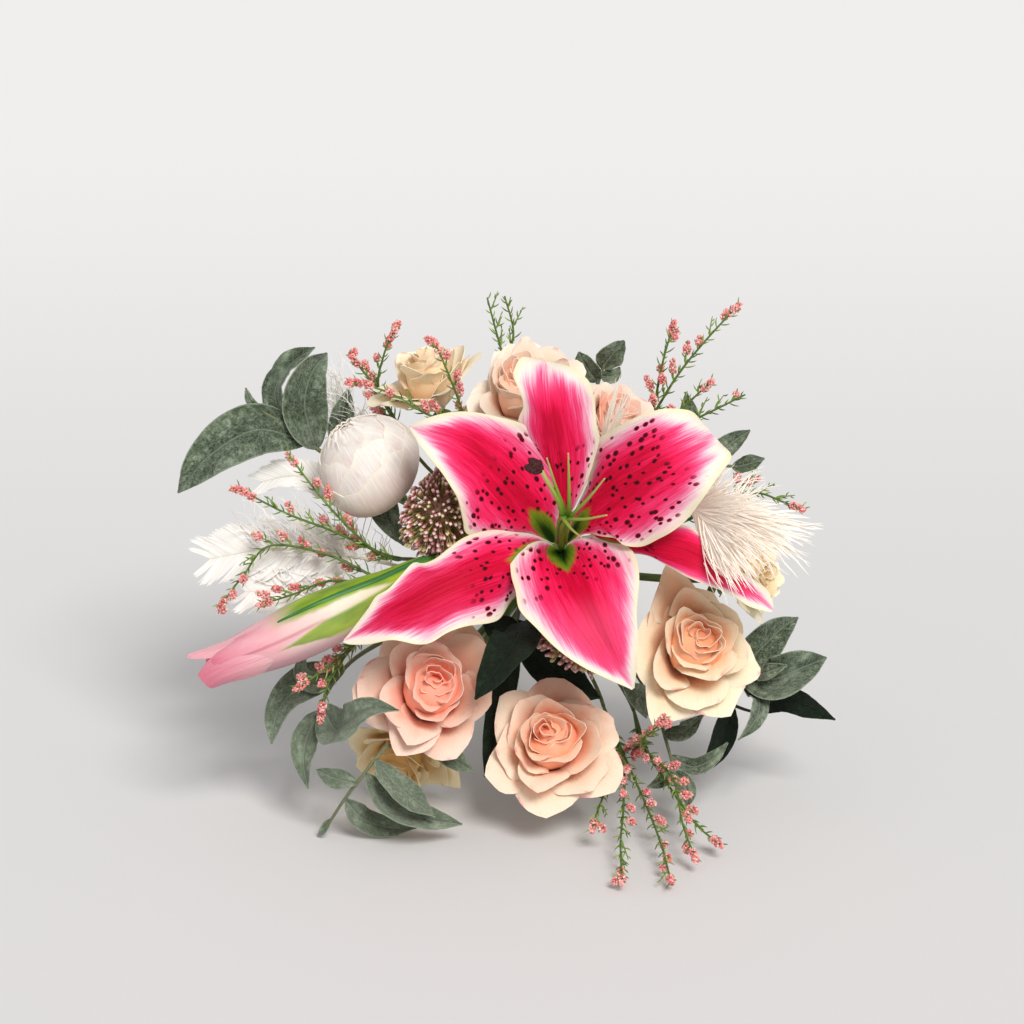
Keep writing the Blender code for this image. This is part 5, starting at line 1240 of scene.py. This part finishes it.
def leaf_finish(name, dark, middle, light, rib, back, roughness, sheen, gloss):
    """Leaf cloth with pinnate veins and a rib, paler behind."""
    make = Finish(name)
    share = make.marks("share")
    lay = make.marks("lay")
    aside = make.size(share["Y"])
    felt = make.noise(make.lay(0.75, 0.5, 1.0), 1.0, 6.0, 0.85)
    cloud = make.noise(make.lay(0.14, 0.07, 0.3), 1.0, 4.0)
    # side veins run forward from the midrib, with a net of small ones between
    slant = make.less(lay["Y"], make.times(make.size(lay["X"]), 0.85))
    bend = make.maths("MULTIPLY_ADD", make.less(cloud, 0.5), 5.0, slant)
    beat = make.maths("PINGPONG", bend, VEIN_GAP / 2)
    vein = make.step(beat, 0.34, 0.05)
    net = make.add("TexVoronoi", {"Vector": make.lay(1.0, 0.8, 1.0), "Scale": 0.75},
                   feature="DISTANCE_TO_EDGE")
    mesh = make.step(net["Distance"], 0.12, 0.02)
    spine = make.step(make.size(lay["X"]), 0.60, 0.20)
    lines = make.maths("MAXIMUM", make.times(vein, 0.8), spine)
    lines = make.maths("MAXIMUM", lines, make.times(mesh, 0.5))
    crease = make.noise(make.lay(0.35, 0.25, 2.0), 1.0, 5.0, 0.7)
    mottle = make.maths("MULTIPLY_ADD", cloud, 1.5, make.maths("MULTIPLY_ADD", crease, 1.3, -0.90))
    body = make.ramp(make.plus(mottle, make.times(make.less(felt, 0.5), 1.5)),
                     (0.20, dark), (0.50, middle), (0.85, light))
    # painted shade: the leaf darkens towards its midrib, where the fold falls into shade
    shaded = make.wash(body, make.step(aside, 0.45, 0.0), 0.45, dark)
    colour = make.wash(shaded, lines, 0.58, rib)
    # the margin is paler: partly the felt's own edge, partly painted highlight
    colour = make.mixed(make.step(aside, 0.93, 1.0), colour, light)
    # a leaf is spun from right to left, so the mark of a front lies on its back
    colour = make.wash(colour, share["Z"], 0.30, back)
    # the lowest leaves at the left are the whitest with felt
    low = make.step(make.toward((-0.6, -0.8, 0.0), (0, 0, 0)), 50.0, 100.0)
    colour = make.mixed(make.times(low, sheen * 1.3), colour, light)
    height = make.less(make.maths("MULTIPLY_ADD", crease, 1.6, felt), lines)
    return make.done(colour, roughness, height, 1.0, Sheen_Weight=sheen, Specular_IOR_Level=gloss,
                     through=(0.05, (0.002, 0.003, 0.001), 0.4))


def twig_finish(name, low, high):
    return grained(name, (1.5, 0.4, 1.0), 4.0, low, high, 0.75, 0.3, Sheen_Weight=0.1)


def leafy_parts(name, twig, leaves):
    """A twig on its wire, and leaves whose roots are sunk in it."""
    twig_path = smooth_path(twig, 16)
    route = stem_route(name, twig[0], np.subtract(twig[1], twig[0]))
    path = np.vstack([route, twig_path[1:]])
    radii = np.concatenate([np.full(len(route), LEAF_STEM), np.linspace(LEAF_STEM, LEAF_STEM * 0.5, 15)])
    parts = [(tubes([path], radii, 9), 1)]
    for k, (midrib, width, face) in enumerate(leaves):
        rows = max(16, int(math.dist(midrib[0], midrib[-1]) * 0.8))
        columns = 9 if width < 8 else 15
        fold = 0.20 if width < 14 else 0.32
        grid = leaf_grid(midrib, width, face, rows, columns, widest=0.44, blunt=0.98, fold=fold, seed=k)
        parts.append((sheet(grid, LEAF_CLOTH, k * 0.19 % 1), 0))
    return parts


sage_looks = [
    leaf_finish("sage_felt", tone(48, 62, 44), tone(92, 108, 84), tone(156, 170, 146), tone(142, 156, 130),
                tone(100, 114, 90), 0.92, 0.22, 0.12),
    twig_finish("sage_twig", tone(86, 92, 62), tone(130, 134, 98)),
]
for name, (twig, leaves) in SAGE.items():
    make_piece(name, "_felted", leafy_parts(name, twig, leaves), sage_looks)

# The dark leaves.
# Two sprigs of stiff, near-black green leaves, one of four leaves and one of two. Each stands on its own
# wire and is waxed to a slight gloss.
DARK_LEAVES = {
    "dark_leaf_centre": ([(-8, -8, -50), (-10, -20, -4), (-11, -25, 22)], [
        ([(-10, -22, 16), (-10, -27, 38), (-19, -41, 49), (-29, -55, 53)], 22, (-0.2, 0.3, 1)),
        ([(-10, -22, 10), (-18, -25, 14), (-26, -22, 14)], 12, (0, 0, 1)),
        ([(-10, -21, 4), (2, -38, 0), (16, -51, -6), (28, -57, -10)], 20, (0, 0, 1)),
        ([(-10, -23, 14), (-16, -50, 4), (-22, -76, 2), (-25, -92, 10)], 12, (0, 0.1, 1)),
    ]),
    "dark_leaf_right": ([(60, -48, -52), (92, -62, -32), (100, -64, -26)], [
        ([(98, -64, -28), (112, -58, -20), (124, -62, -14), (136, -67, -12)], 12, (0.1, 0.2, 1)),
        ([(90, -61, -33), (84, -78, -24), (76, -92, -20)], 12, (0.1, -0.1, 1)),
    ]),
}
dark_looks = [
    leaf_finish("dark_leaf_wax", tone(10, 20, 13), tone(18, 32, 20), tone(32, 50, 31), tone(34, 54, 32),
                tone(36, 52, 34), 0.55, 0.0, 0.3),
    twig_finish("dark_twig", tone(36, 48, 26), tone(60, 74, 40)),
]
for name, (twig, leaves) in DARK_LEAVES.items():
    make_piece(name, "_waxed", leafy_parts(name, twig, leaves), dark_looks)

# The heather.
# Ten sprays of thin green branches on wire. Each branch is moulded with soft needles, and clusters of tiny
# coral-pink florets are glued along it and at its tip.
NEEDLE_LENGTH, SIDE_NEEDLE_LENGTH = 8.0, 4.8
NEEDLE_RADII = (0.18, 0.36, 0.39, 0.28, 0.05)
SIDE_TWIG_RADII = (0.42, 0.38, 0.34, 0.3, 0.2)
GRAIN_RADII = (0.22, 0.60, 0.64, 0.24)
# Each spray: where its wire forks, then the course of each branch
HEATHER = {
    "heather_left_upper": ((-62, 7, 8), [
        [(-66, 7, 18), (-76, 12, 28), (-95, 31, 34), (-114, 55, 31)],
        [(-72, 10, 25), (-94, 20, 27), (-115, 28, 26), (-138, 40, 24)],
    ]),
    "heather_left_lower": ((-68, -8, 6), [
        [(-74, -2, 16), (-96, 9, 19), (-122, 13, 18), (-134, 0, 17), (-146, -16, 16)],
        [(-78, -4, 16), (-96, -3, 20), (-112, -9, 22), (-128, -14, 24)],
    ]),
    "heather_upper_left": ((-30, 60, -14), [
        [(-33, 66, 16), (-35, 74, 30), (-41, 90, 38), (-48, 106, 38)],
        [(-33, 66, 16), (-50, 72, 29), (-68, 82, 29), (-87, 88, 22)],
    ]),
    "heather_top_left": ((-62, 62, -44), [
        [(-74, 84, -30), (-72, 100, -22), (-66, 114, -18)],
        [(-74, 84, -30), (-82, 94, -26), (-88, 102, -24)],
    ]),
    "heather_top": ((-14, 70, -42), [
        [(-16, 96, -26), (-20, 112, -20), (-24, 127, -18)],
        [(-14, 98, -26), (-12, 112, -22), (-16, 128, -20)],
    ]),
    "heather_upper_right": ((44, 56, -30), [
        [(53, 74, -14), (64, 92, -6), (77, 108, -2), (92, 124, -2)],
        [(52, 74, -17), (55, 90, -9), (58, 103, -5), (62, 116, -4)],
        [(56, 66, -16), (64, 74, -6), (72, 82, -2), (80, 89, 0)],
        [(58, 62, -18), (70, 70, -8), (82, 76, -2), (94, 82, 0)],
    ]),
    "heather_right": ((62, 22, -20), [
        [(84, 32, -2), (98, 37, 10), (110, 33, 16), (120, 29, 18)],
        [(84, 32, -2), (92, 40, 6), (100, 44, 10)],
    ]),
    "heather_lower_left": ((-78, -26, -4), [
        [(-84, -31, 14), (-92, -39, 25), (-102, -46, 30), (-111, -52, 32)],
        [(-86, -34, 14), (-95, -48, 24), (-98, -58, 27), (-99, -67, 28)],
    ]),
    "heather_bottom": ((30, -62, -36), [
        [(36, -84, -10), (30, -98, 10), (26, -107, 22), (23, -116, 30)],
        [(38, -86, -8), (38, -104, 14), (36, -120, 40), (36, -136.2, 66.5)],
        [(40, -86, -8), (48, -104, 14), (54, -120, 40), (58, -136.2, 66.5)],
    ]),
    "heather_low_right": ((44, -64, -34), [
        [(50, -82, -6), (60, -98, 16), (70, -112, 28), (82, -122, 36)],
        [(48, -80, -8), (60, -92, 22), (64, -112, 40), (70, -128, 50)],
        [(46, -78, -10), (47, -74, 22), (52, -68, 40), (56, -62, 46)],
    ]),
}


def heather_green_finish():
    make = Finish("heather_green")
    share = make.marks("share")
    patch = make.noise(make.lay(1.0, 0.5, 1.0), 1.0, 2.0)
    young = make.plus(make.times(share["Z"], 0.7), make.times(patch, 0.4))
    colour = make.ramp(young, (0.1, tone(74, 98, 38)), (0.5, tone(110, 140, 60)),
                       (0.95, tone(164, 184, 100)))
    return make.done(colour, 0.5, patch, 0.1, Specular_IOR_Level=0.4)


def heather_pink_finish():
    make = Finish("heather_pink")
    share = make.marks("share")
    speck = make.noise(make.lay(2.0, 2.0, 1.0), 1.0, 2.0)
    colour = make.ramp(share["Z"], (0.0, tone(226, 112, 118)), (0.3, tone(242, 146, 146)),
                       (0.7, tone(249, 180, 174)), (1.0, tone(253, 216, 208)))
    return make.done(colour, 0.6, speck, 0.1, Specular_IOR_Level=0.3)


def square_ways(tangents, turns):
    """Directions square to the branch, at those turns round it."""
    side = unit(np.cross(tangents, OFF_AXIS))
    up = np.cross(tangents, side)
    return np.cos(turns)[:, None] * side + np.sin(turns)[:, None] * up


def needles_on(path, start, spacing, longest, chance):
    """Narrow, bent needles all round a branch, shorter towards its tip."""
    length = np.linalg.norm(np.diff(path, axis=0), axis=1).sum()
    at = np.arange(start, length - 0.6, spacing)
    at = at + chance.uniform(-0.3, 0.3, len(at)) * spacing
    along = np.linspace(0, length, len(path))
    spots = places_on(path, along, at)
    tangents = unit(places_on(path, along, at + 0.5) - spots)
    known = np.linalg.norm(tangents, axis=1, keepdims=True) > 0.5
    tangents = np.where(known, tangents, unit(path[-1] - path[-2]))
    out = square_ways(tangents, np.arange(len(at)) * GOLDEN_TURN + chance.uniform(-0.5, 0.5, len(at)))
    lengths = longest * chance.uniform(0.6, 1.0, len(at)) * (1 - 0.4 * at / length)
    reach = np.linspace(0, 1, 5)[None, :, None]
    ways = out[:, None] * (0.92 - 0.22 * reach) + tangents[:, None] * (0.50 + 0.22 * reach)
    needles = spots[:, None] + ways * reach * lengths[:, None, None]
    return needles, spots, out, tangents


def grains_on(spine, chance):
    """Tiny round florets, crowded along a short twig end."""
    length = np.linalg.norm(np.diff(spine, axis=0), axis=1).sum()
    count = int(length * 5.4) + 5
    here = np.sort(chance.uniform(0, 1, count))
    spots = places_on(spine, np.linspace(0, 1, len(spine)), here)
    way = np.repeat(unit(spine[-1] - spine[0])[None], count, axis=0)
    around = square_ways(way, np.arange(count) * GOLDEN_TURN)
    fat = 0.55 + 1.05 * np.sin(np.clip(here * 0.85 + 0.15, 0, 1) * math.pi)
    fat = fat * chance.uniform(0.6, 1.15, count)
    centres = spots + around * fat[:, None]
    aims = unit(around + way * 0.5 + chance.normal(0, 0.25, (count, 3)))
    stretch = np.array([-0.62, -0.22, 0.25, 0.66])[None, :, None]
    return centres[:, None] + aims[:, None] * stretch * chance.uniform(0.75, 1.15, (count, 1, 1))


def sprig(path, bloom_share, chance):
    """The needles, side twigs and florets of one branch."""
    length = np.linalg.norm(np.diff(path, axis=0), axis=1).sum()
    needles, spots, out, tangents = needles_on(path, 0.14 * length, 1.75, NEEDLE_LENGTH, chance)
    needle_sets, twigs, grain_sets = [needles], [], []
    steps = np.linspace(0, 1, 5)[:, None]
    # a side twig grows beside every fifth needle
    for k in range(3, len(spots) - 2, 5):
        reach = chance.uniform(6.5, 12.0) * (1 - 0.3 * k / len(spots))
        way = unit(out[k] * 0.75 + tangents[k] * 0.8)
        bend = tangents[k] * 0.18 * reach
        twig = spots[k] + steps * way * reach + steps**2 * bend
        twigs.append(twig)
        needle_sets.append(needles_on(twig, 1.4, 1.9, SIDE_NEEDLE_LENGTH, chance)[0])
        if chance.uniform() < bloom_share:
            fine = smooth_path(twig, 12)
            grain_sets.append(grains_on(fine[int(chance.uniform(3, 7)):], chance))
    # florets crowd the last eight millimetres of most branches
    if chance.uniform() < bloom_share + 0.25:
        grain_sets.append(grains_on(path[int(len(path) * (1 - 8.0 / length)):], chance))
    needles = np.concatenate(needle_sets)
    grains = np.concatenate(grain_sets) if grain_sets else np.zeros((0, 4, 3))
    grain_radii = np.array(GRAIN_RADII) * chance.uniform(0.8, 1.2, (len(grains), 1))
    shapes = [
        (tubes(needles, NEEDLE_RADII, 3, chances=chance.uniform(0, 1, len(needles))), 0),
        (tubes(twigs, SIDE_TWIG_RADII, 5, chances=np.full(len(twigs), 0.5)), 0),
    ]
    if len(grains):
        shapes.append((tubes(grains, grain_radii, 4, chances=chance.uniform(0, 1, len(grains))), 1))
    return shapes


# the share of twigs in flower, where it isn't most of them
IN_FLOWER = {"heather_upper_right": 0.62, "heather_right": 0.65, "heather_top": 0.15, "heather_bottom": 0.66,
             "heather_low_right": 0.75}
heather_looks = [
    heather_green_finish(),
    heather_pink_finish(),
    twig_finish("heather_twig", tone(70, 78, 38), tone(116, 112, 66)),
]
for count, (name, (root, branches)) in enumerate(HEATHER.items()):
    chance = np.random.default_rng(900 + count)
    route = stem_route(name, root, np.subtract(branches[0][0], root))
    parts = [(tubes([route], WIRE_STEM, 8), 2)]
    for branch in branches:
        path = smooth_path([root, *branch], 60)
        parts.append((tubes([path], np.linspace(0.75, 0.40, 60), 7), 0))
        parts += sprig(path, IN_FLOWER.get(name, 0.85), chance)
    make_piece(name, "_sprigs", parts, heather_looks)

# The feathers.
# Six dyed goose and marabou plumes on wired quills. Flat barbs make the vanes, curly down stands at their
# base, and the two cream tufts are long silky strands.
STRAND_STEPS = 10
STRAND_THICKNESS = 0.09
# the way to the light, to which the strands turn their flat sides
LIT = unit((0.15, 0.35, 1.0))
# Each feather: its quill, and the way it faces
FEATHERS = {
    "feather_left_long": ([(-58, 2, -18), (-92, 9, 2), (-126, 11, 5), (-150, 7, 2)], (0.1, 0, 1)),
    "feather_left_low": ([(-66, -16, -14), (-92, -12, 0), (-116, -8, 4), (-134, -8, 4)], (0.1, 0.1, 1)),
    "feather_left_vane": ([(-74, 26, -22), (-96, 40, -10), (-112, 45, -8), (-128, 42, -10)], (0, 0.1, 1)),
    "feather_upper_left": ([(-62, 42, -40), (-80, 60, -30), (-90, 79, -26), (-94, 98, -22)], (-0.2, 0, 1)),
    "feather_right": ([(52, 18, -14), (69, 31, 41), (92, 25, 61), (114, 14, 58)], (0.1, 0.1, 1)),
    "feather_top": ([(20, 40, -26), (26, 52, 24), (32, 74, 44), (37, 90, 50)], (0.2, -0.2, 1)),
}
# A vane: how many barbs, from where to where on the shaft, half the vane's width, how far its barbs lean
# from the shaft, half a barb's width, how far its barbs part into bundles
VANES = {
    "feather_left_long": (280, 0.30, 1.0, 14.0, 50, 0.40, 0.7),
    "feather_left_low": (220, 0.30, 1.0, 11.5, 52, 0.38, 0.7),
    "feather_left_vane": (190, 0.16, 0.97, 9.5, 40, 0.50, 0.15),
}
# Loose strands, set by set: how many, from where to where on the shaft, the least and greatest lean to its
# left side, the least and greatest length, half the width, the curl, the least and greatest lift off the
# shaft, and how much of that lift is lost towards the tip
STRANDS = {
    "feather_left_long": (
        (110, 0.26, 0.72, 10, 80, 16, 36, 0.17, 0.75, -0.1, 0.7, 1.2),
        (70, 0.10, 0.60, -90, 90, 8, 20, 0.15, 0.90, -0.4, 0.8, 1.0),
    ),
    "feather_left_low": (
        (60, 0.16, 0.70, -80, 60, 9, 22, 0.15, 0.80, -0.3, 0.7, 1.0),
        (30, 0.30, 0.80, 20, 70, 14, 24, 0.16, 0.70, 0.0, 0.6, 1.1),
    ),
    "feather_left_vane": ((40, 0.10, 0.40, -80, 80, 7, 16, 0.15, 0.80, -0.3, 0.6, 1.0),),
    "feather_upper_left": (
        (110, 0.22, 0.72, -40, 35, 24, 38, 0.17, 0.85, 0.9, 1.8, 0.8),
        (70, 0.20, 0.80, -70, 70, 10, 20, 0.16, 0.80, 0.2, 1.0, 0.9),
        (26, 0.60, 0.95, -25, 25, 9, 15, 0.16, 0.50, 0.0, 0.8, 0.9),
    ),
    "feather_right": (
        (300, 0.46, 0.68, -6, 52, 33, 50, 0.44, 0.12, -0.06, 0.12, 1.6),
        (190, 0.60, 0.86, -30, 46, 14, 30, 0.38, 0.18, -0.08, 0.20, 1.6),
        (90, 0.48, 0.74, -84, -14, 12, 27, 0.22, 0.50, -0.1, 0.35, 1.2),
        (26, 0.46, 0.58, 36, 60, 44, 56, 0.22, 0.20, 0.0, 0.15, 1.6),
    ),
    "feather_top": (
        (34, 0.55, 0.64, -58, -34, 33, 43, 0.34, 0.12, -0.05, 0.1, 1.5),
        (30, 0.55, 0.66, -4, 14, 32, 43, 0.34, 0.12, -0.05, 0.1, 1.5),
        (6, 0.55, 0.62, 28, 40, 28, 36, 0.28, 0.16, -0.05, 0.1, 1.5),
        (80, 0.52, 0.64, -44, 30, 12, 26, 0.40, 0.20, -0.1, 0.2, 1.5),
    ),
}


def down_finish(name, deep, low, high, glow):
    """Pale barbs, with painted shade towards their foot. A faint glow stands for the light that passes
    through them.
    """
    make = Finish(name)
    share = make.marks("share")
    lay = make.marks("lay")
    grain = make.noise(make.lay(2.2, 0.06, 3.0), 1.0, 3.0, 0.6)
    tint = make.plus(make.maths("DIVIDE", lay["Z"], 110.0), make.times(grain, 0.55))
    white = make.ramp(tint, (0.15, low), (0.70, high))
    # painted shade: the strands darken towards their foot, deep in the plume
    foot = make.times(make.step(share["X"], 0.30, 0.0), 0.20)
    return make.done(make.mixed(foot, white, deep), 0.62, grain, 0.08, Sheen_Weight=0.3,
                     Specular_IOR_Level=0.25, Emission_Color=high, Emission_Strength=glow)


def on_quill(quill_path, along):
    """Points, and the ways forward, at those shares of the quill."""
    places = np.linspace(0, 1, len(quill_path))
    tangents = unit(np.gradient(quill_path, axis=0))
    return places_on(quill_path, places, along), unit(places_on(tangents, places, along))


def strands(quill_path, face, starts, leans, lengths, half, curl, lifts, fall, chance, blunt=2.5):
    """Flat, narrow strands. Each leaves the shaft, leans aside, bends forward and is drawn out to a tip."""
    count = len(starts)
    spots, forward = (each[:, None] for each in on_quill(quill_path, starts))
    out = unit(np.cross(forward, unit(face)))
    up = np.cross(out, forward)
    reach = np.linspace(0, 1, STRAND_STEPS)[None, :, None]
    phase = chance.uniform(0, 2 * math.pi, (2, count, 1, 1))
    beat = chance.uniform(2.5, 8.0, (count, 1, 1))
    lean = leans[:, None, None] * (1.25 - 0.5 * reach) + curl * np.sin(beat * reach + phase[0]) * reach
    rise = lifts[:, None, None] * (1 - fall * reach)
    rise = rise + 0.8 * curl * np.sin(0.8 * beat * reach + phase[1]) * reach
    ways = unit(forward * np.cos(lean) + out * np.sin(lean) + up * rise)
    steps = ways * lengths[:, None, None] / (STRAND_STEPS - 1)
    middle = spots + np.cumsum(steps, axis=1) - steps[:, :1]
    over = unit(np.cross(ways, unit(0.4 * up + LIT)))
    wide = half * np.minimum(1, 0.4 + 3 * reach) * (1 - reach**blunt) + 0.05
    across = np.array([-1.0, 0.0, 1.0])[None, None, :, None]
    roof = 0.18 * wide[..., None] * (1 - np.abs(across)) * up[:, :, None]
    grids = middle[:, :, None] + across * wide[..., None] * over[:, :, None] + roof
    return [(sheet(grid, STRAND_THICKNESS, chance.uniform()), 0) for grid in grids]


def vane(quill_path, face, count, first, last, wide, lean, half, parted, chance):
    """The barbs of a vane: both sides of the shaft, side by side, up to the vane's outline."""
    starts = first + (last - first) * (np.arange(count) // 2 + 0.5) / (count / 2)
    sides = np.where(np.arange(count) % 2, 1.0, -1.0)
    bundles = np.sin(np.floor(starts * 16 + 0.5 * sides) * 97.0 + 5 * sides)
    tip = (starts - first) / (last - first)
    lean = np.radians(lean + 9 * parted * bundles - 12 * tip + chance.normal(0, 1.5 * parted, count)) * sides
    lengths = wide * width_share(np.clip(0.30 + tip * 0.66, 0, 1), 0.62, 0.30) / np.sin(np.radians(46))
    lengths = lengths * (1 + 0.10 * parted * bundles) * chance.uniform(0.94, 1.04, count)
    lifts = 0.10 + 0.10 * parted * bundles
    return strands(quill_path, face, starts, lean, lengths, half, 0.04 * parted, lifts, 1.0, chance, 7.0)


quill_horn = grained("quill", (1.0, 0.1, 1.0), 3.0, tone(214, 206, 180), tone(240, 236, 220), 0.4, 0.1,
                     Specular_IOR_Level=0.5)
white_down = down_finish("white_down", tone(206, 202, 194), tone(228, 224, 217), tone(250, 248, 244), 0.0)
cream_down = down_finish("cream_down", tone(232, 210, 188), tone(248, 231, 214), tone(254, 248, 239), 0.07)
for count, (name, (quill, face)) in enumerate(FEATHERS.items()):
    chance = np.random.default_rng(40 + count)
    quill_path = smooth_path(quill, 40)
    route = stem_route(name, quill[0], np.subtract(quill[1], quill[0]))
    # where no vane hides it, the shaft ends among the strands
    bare = 40 if name in VANES else 28
    shaft = np.vstack([route, quill_path[1:bare]])
    radii = np.concatenate([np.full(len(route), WIRE_STEM), np.linspace(WIRE_STEM, 0.2, bare - 1)])
    parts = [(tubes([shaft], radii, 8), 1)]
    if name in VANES:
        parts += vane(quill_path, face, *VANES[name], chance)
    for many, first, last, least, most, short, long, half, curl, low, high, fall in STRANDS[name]:
        starts = chance.uniform(first, last, many)
        leans = np.radians(chance.uniform(least, most, many))
        lengths = chance.uniform(short, long, many)
        lifts = chance.uniform(low, high, many)
        parts += strands(quill_path, face, starts, leans, lengths, half, curl, lifts, fall, chance)
    down = cream_down if name in ("feather_right", "feather_top") else white_down
    make_piece(name, "_plume", parts, [down, quill_horn])


# The stem tape.
# Waxed crepe tape, stretched round the neck of the bunch, where the stems meet, and stuck to itself.
SLEEVE_BORE = 14.3
CREASES = 7


def band_grid(height, turn, outer, bore):
    """A sleeve round the stems: its outer wall is a height field, its inner wall is the bore."""
    rows, columns = len(height), len(turn)
    ring = np.stack([np.cos(turn), np.sin(turn)], axis=-1)
    level = np.repeat(height[:, None, None], columns, axis=1)
    walls = [np.concatenate([radius[..., None] * ring, level], axis=-1)
             for radius in (outer, np.full_like(outer, bore))]
    points = np.concatenate(walls).reshape(-1, 3)
    here = np.arange(columns)
    after = (here + 1) % columns
    low = np.arange(rows - 1)[:, None] * columns
    high = low + columns
    wall = np.stack([low + here, high + here, high + after, low + after], axis=-1).reshape(-1, 4)
    within = rows * columns
    bored = wall[:, ::-1] + within
    top = np.stack([here, after, after + within, here + within], axis=-1)
    bottom = (rows - 1) * columns + np.stack([here, here + within, after + within, after], axis=-1)
    along = np.linspace(0, 1, rows)[:, None] + np.zeros((rows, columns))
    round_share = turn[None, :] / (2 * math.pi) + np.zeros((rows, columns))
    lay = np.stack([bore * np.cos(turn)[None, :] + 0 * along, -height[:, None] + 0 * along,
                    bore * np.sin(turn)[None, :] + 0 * along], axis=-1)
    marks = two_faced(along, round_share)
    return points, [wall, bored, top, bottom], marks, np.concatenate([lay, lay]).reshape(-1, 3)


def smooth_step(value):
    value = np.clip(value, 0, 1)
    return value * value * (3 - 2 * value)


def wound(height, turn, bore, wall, pitch, seam_depth, seed, crease):
    """The outer radius of a wound band: each turn laps over the one before and steps down at its edge."""
    chance = np.random.default_rng(seed)
    down = height.max() - height[:, None]
    lap = (down / pitch + turn[None, :] / (2 * math.pi)) % 1.0
    outer = bore + wall - seam_depth * (1 - smooth_step(lap / 0.06)) - seam_depth * 0.35 * lap
    # soft creases, each fading out where the turn ends
    for _ in range(CREASES):
        place = chance.uniform(0, 2 * math.pi)
        steepness = chance.uniform(2, 7)
        size = chance.uniform(0.3, 1.0)
        slant = chance.uniform(-0.5, 0.5)
        wave = np.sin(steepness * (turn[None, :] - place) + down * 2 * math.pi / pitch * slant)
        fade = smooth_step(np.minimum(lap, 1 - lap) * 6)
        outer = outer - crease * size * np.clip(wave - 0.55, 0, None) * fade
    return np.minimum(outer, bore + wall)


def tape_finish():
    make = Finish("crepe_tape")
    crepe = make.noise(make.lay(0.9, 6.0, 0.9), 1.0, 3.0, 0.7)
    cloud = make.noise(make.lay(0.2, 0.2, 0.2), 1.0, 2.0)
    colour = make.ramp(make.plus(cloud, make.times(make.less(crepe, 0.5), 0.5)),
                       (0.3, tone(88, 110, 62)), (0.7, tone(128, 148, 92)))
    return make.done(colour, 0.72, crepe, 0.3, Specular_IOR_Level=0.35)


TURN_STEPS = 2 * math.pi * np.arange(80) / 80
tape_height = np.linspace(-112.0, -121.0, 14)
tape_outer = wound(tape_height, TURN_STEPS, SLEEVE_BORE, wall=1.0, pitch=6.0, seam_depth=0.32, seed=3,
                   crease=0.10)
make_piece("stem_tape", "_crepe", [(band_grid(tape_height, TURN_STEPS, tape_outer, SLEEVE_BORE), 0)],
           [tape_finish()])

# The handle ribbon.
# Ivory satin ribbon, wound down the stems in overlapping turns over a first layer, so it holds them as one
# round handle. Its turns lap by a third.
RIBBON_WALL = 1.6
RIBBON_TOP = 121.4
RIBBON_PITCH = 16.4


def satin_finish():
    make = Finish("ivory_satin")
    share = make.marks("share")
    thread = make.noise(make.lay(3.0, 26.0, 3.0), 1.0, 2.0, 0.6)
    cloud = make.noise(make.lay(0.15, 0.15, 0.15), 1.0, 3.0)
    colour = make.ramp(cloud, (0.3, tone(241, 234, 219)), (0.7, tone(246, 240, 227)))
    colour = make.mixed(make.step(share["Z"], 1.0, 0.0), colour, tone(206, 198, 180))
    # a woven edge and a thin shade show where each turn laps over the last
    lay = make.marks("lay")
    around = make.maths("DIVIDE", make.maths("ARCTAN2", lay["Z"], lay["X"]), 2 * math.pi)
    down = make.maths("DIVIDE", make.less(lay["Y"], RIBBON_TOP), RIBBON_PITCH)
    lap = make.maths("FRACT", make.plus(down, around))
    shade = make.times(make.step(lap, 0.075, 0.02), 0.55)
    colour = make.mixed(shade, colour, tone(168, 154, 132))
    edge = make.times(make.step(make.size(make.less(lap, 0.10)), 0.035, 0.01), 0.5)
    colour = make.mixed(edge, colour, tone(255, 252, 244))
    dull = make.maths("MULTIPLY_ADD", thread, 0.14, 0.26)
    return make.done(colour, dull, thread, 0.05, Anisotropic=0.55, Sheen_Weight=0.1, Specular_IOR_Level=0.55)


ribbon_height = np.linspace(-RIBBON_TOP, -236.0, 110)
ribbon_outer = wound(ribbon_height, TURN_STEPS, SLEEVE_BORE, RIBBON_WALL, RIBBON_PITCH, seam_depth=0.55,
                     seed=8, crease=0.16)
make_piece("handle_ribbon", "_satin", [(band_grid(ribbon_height, TURN_STEPS, ribbon_outer, SLEEVE_BORE), 0)],
           [satin_finish()])
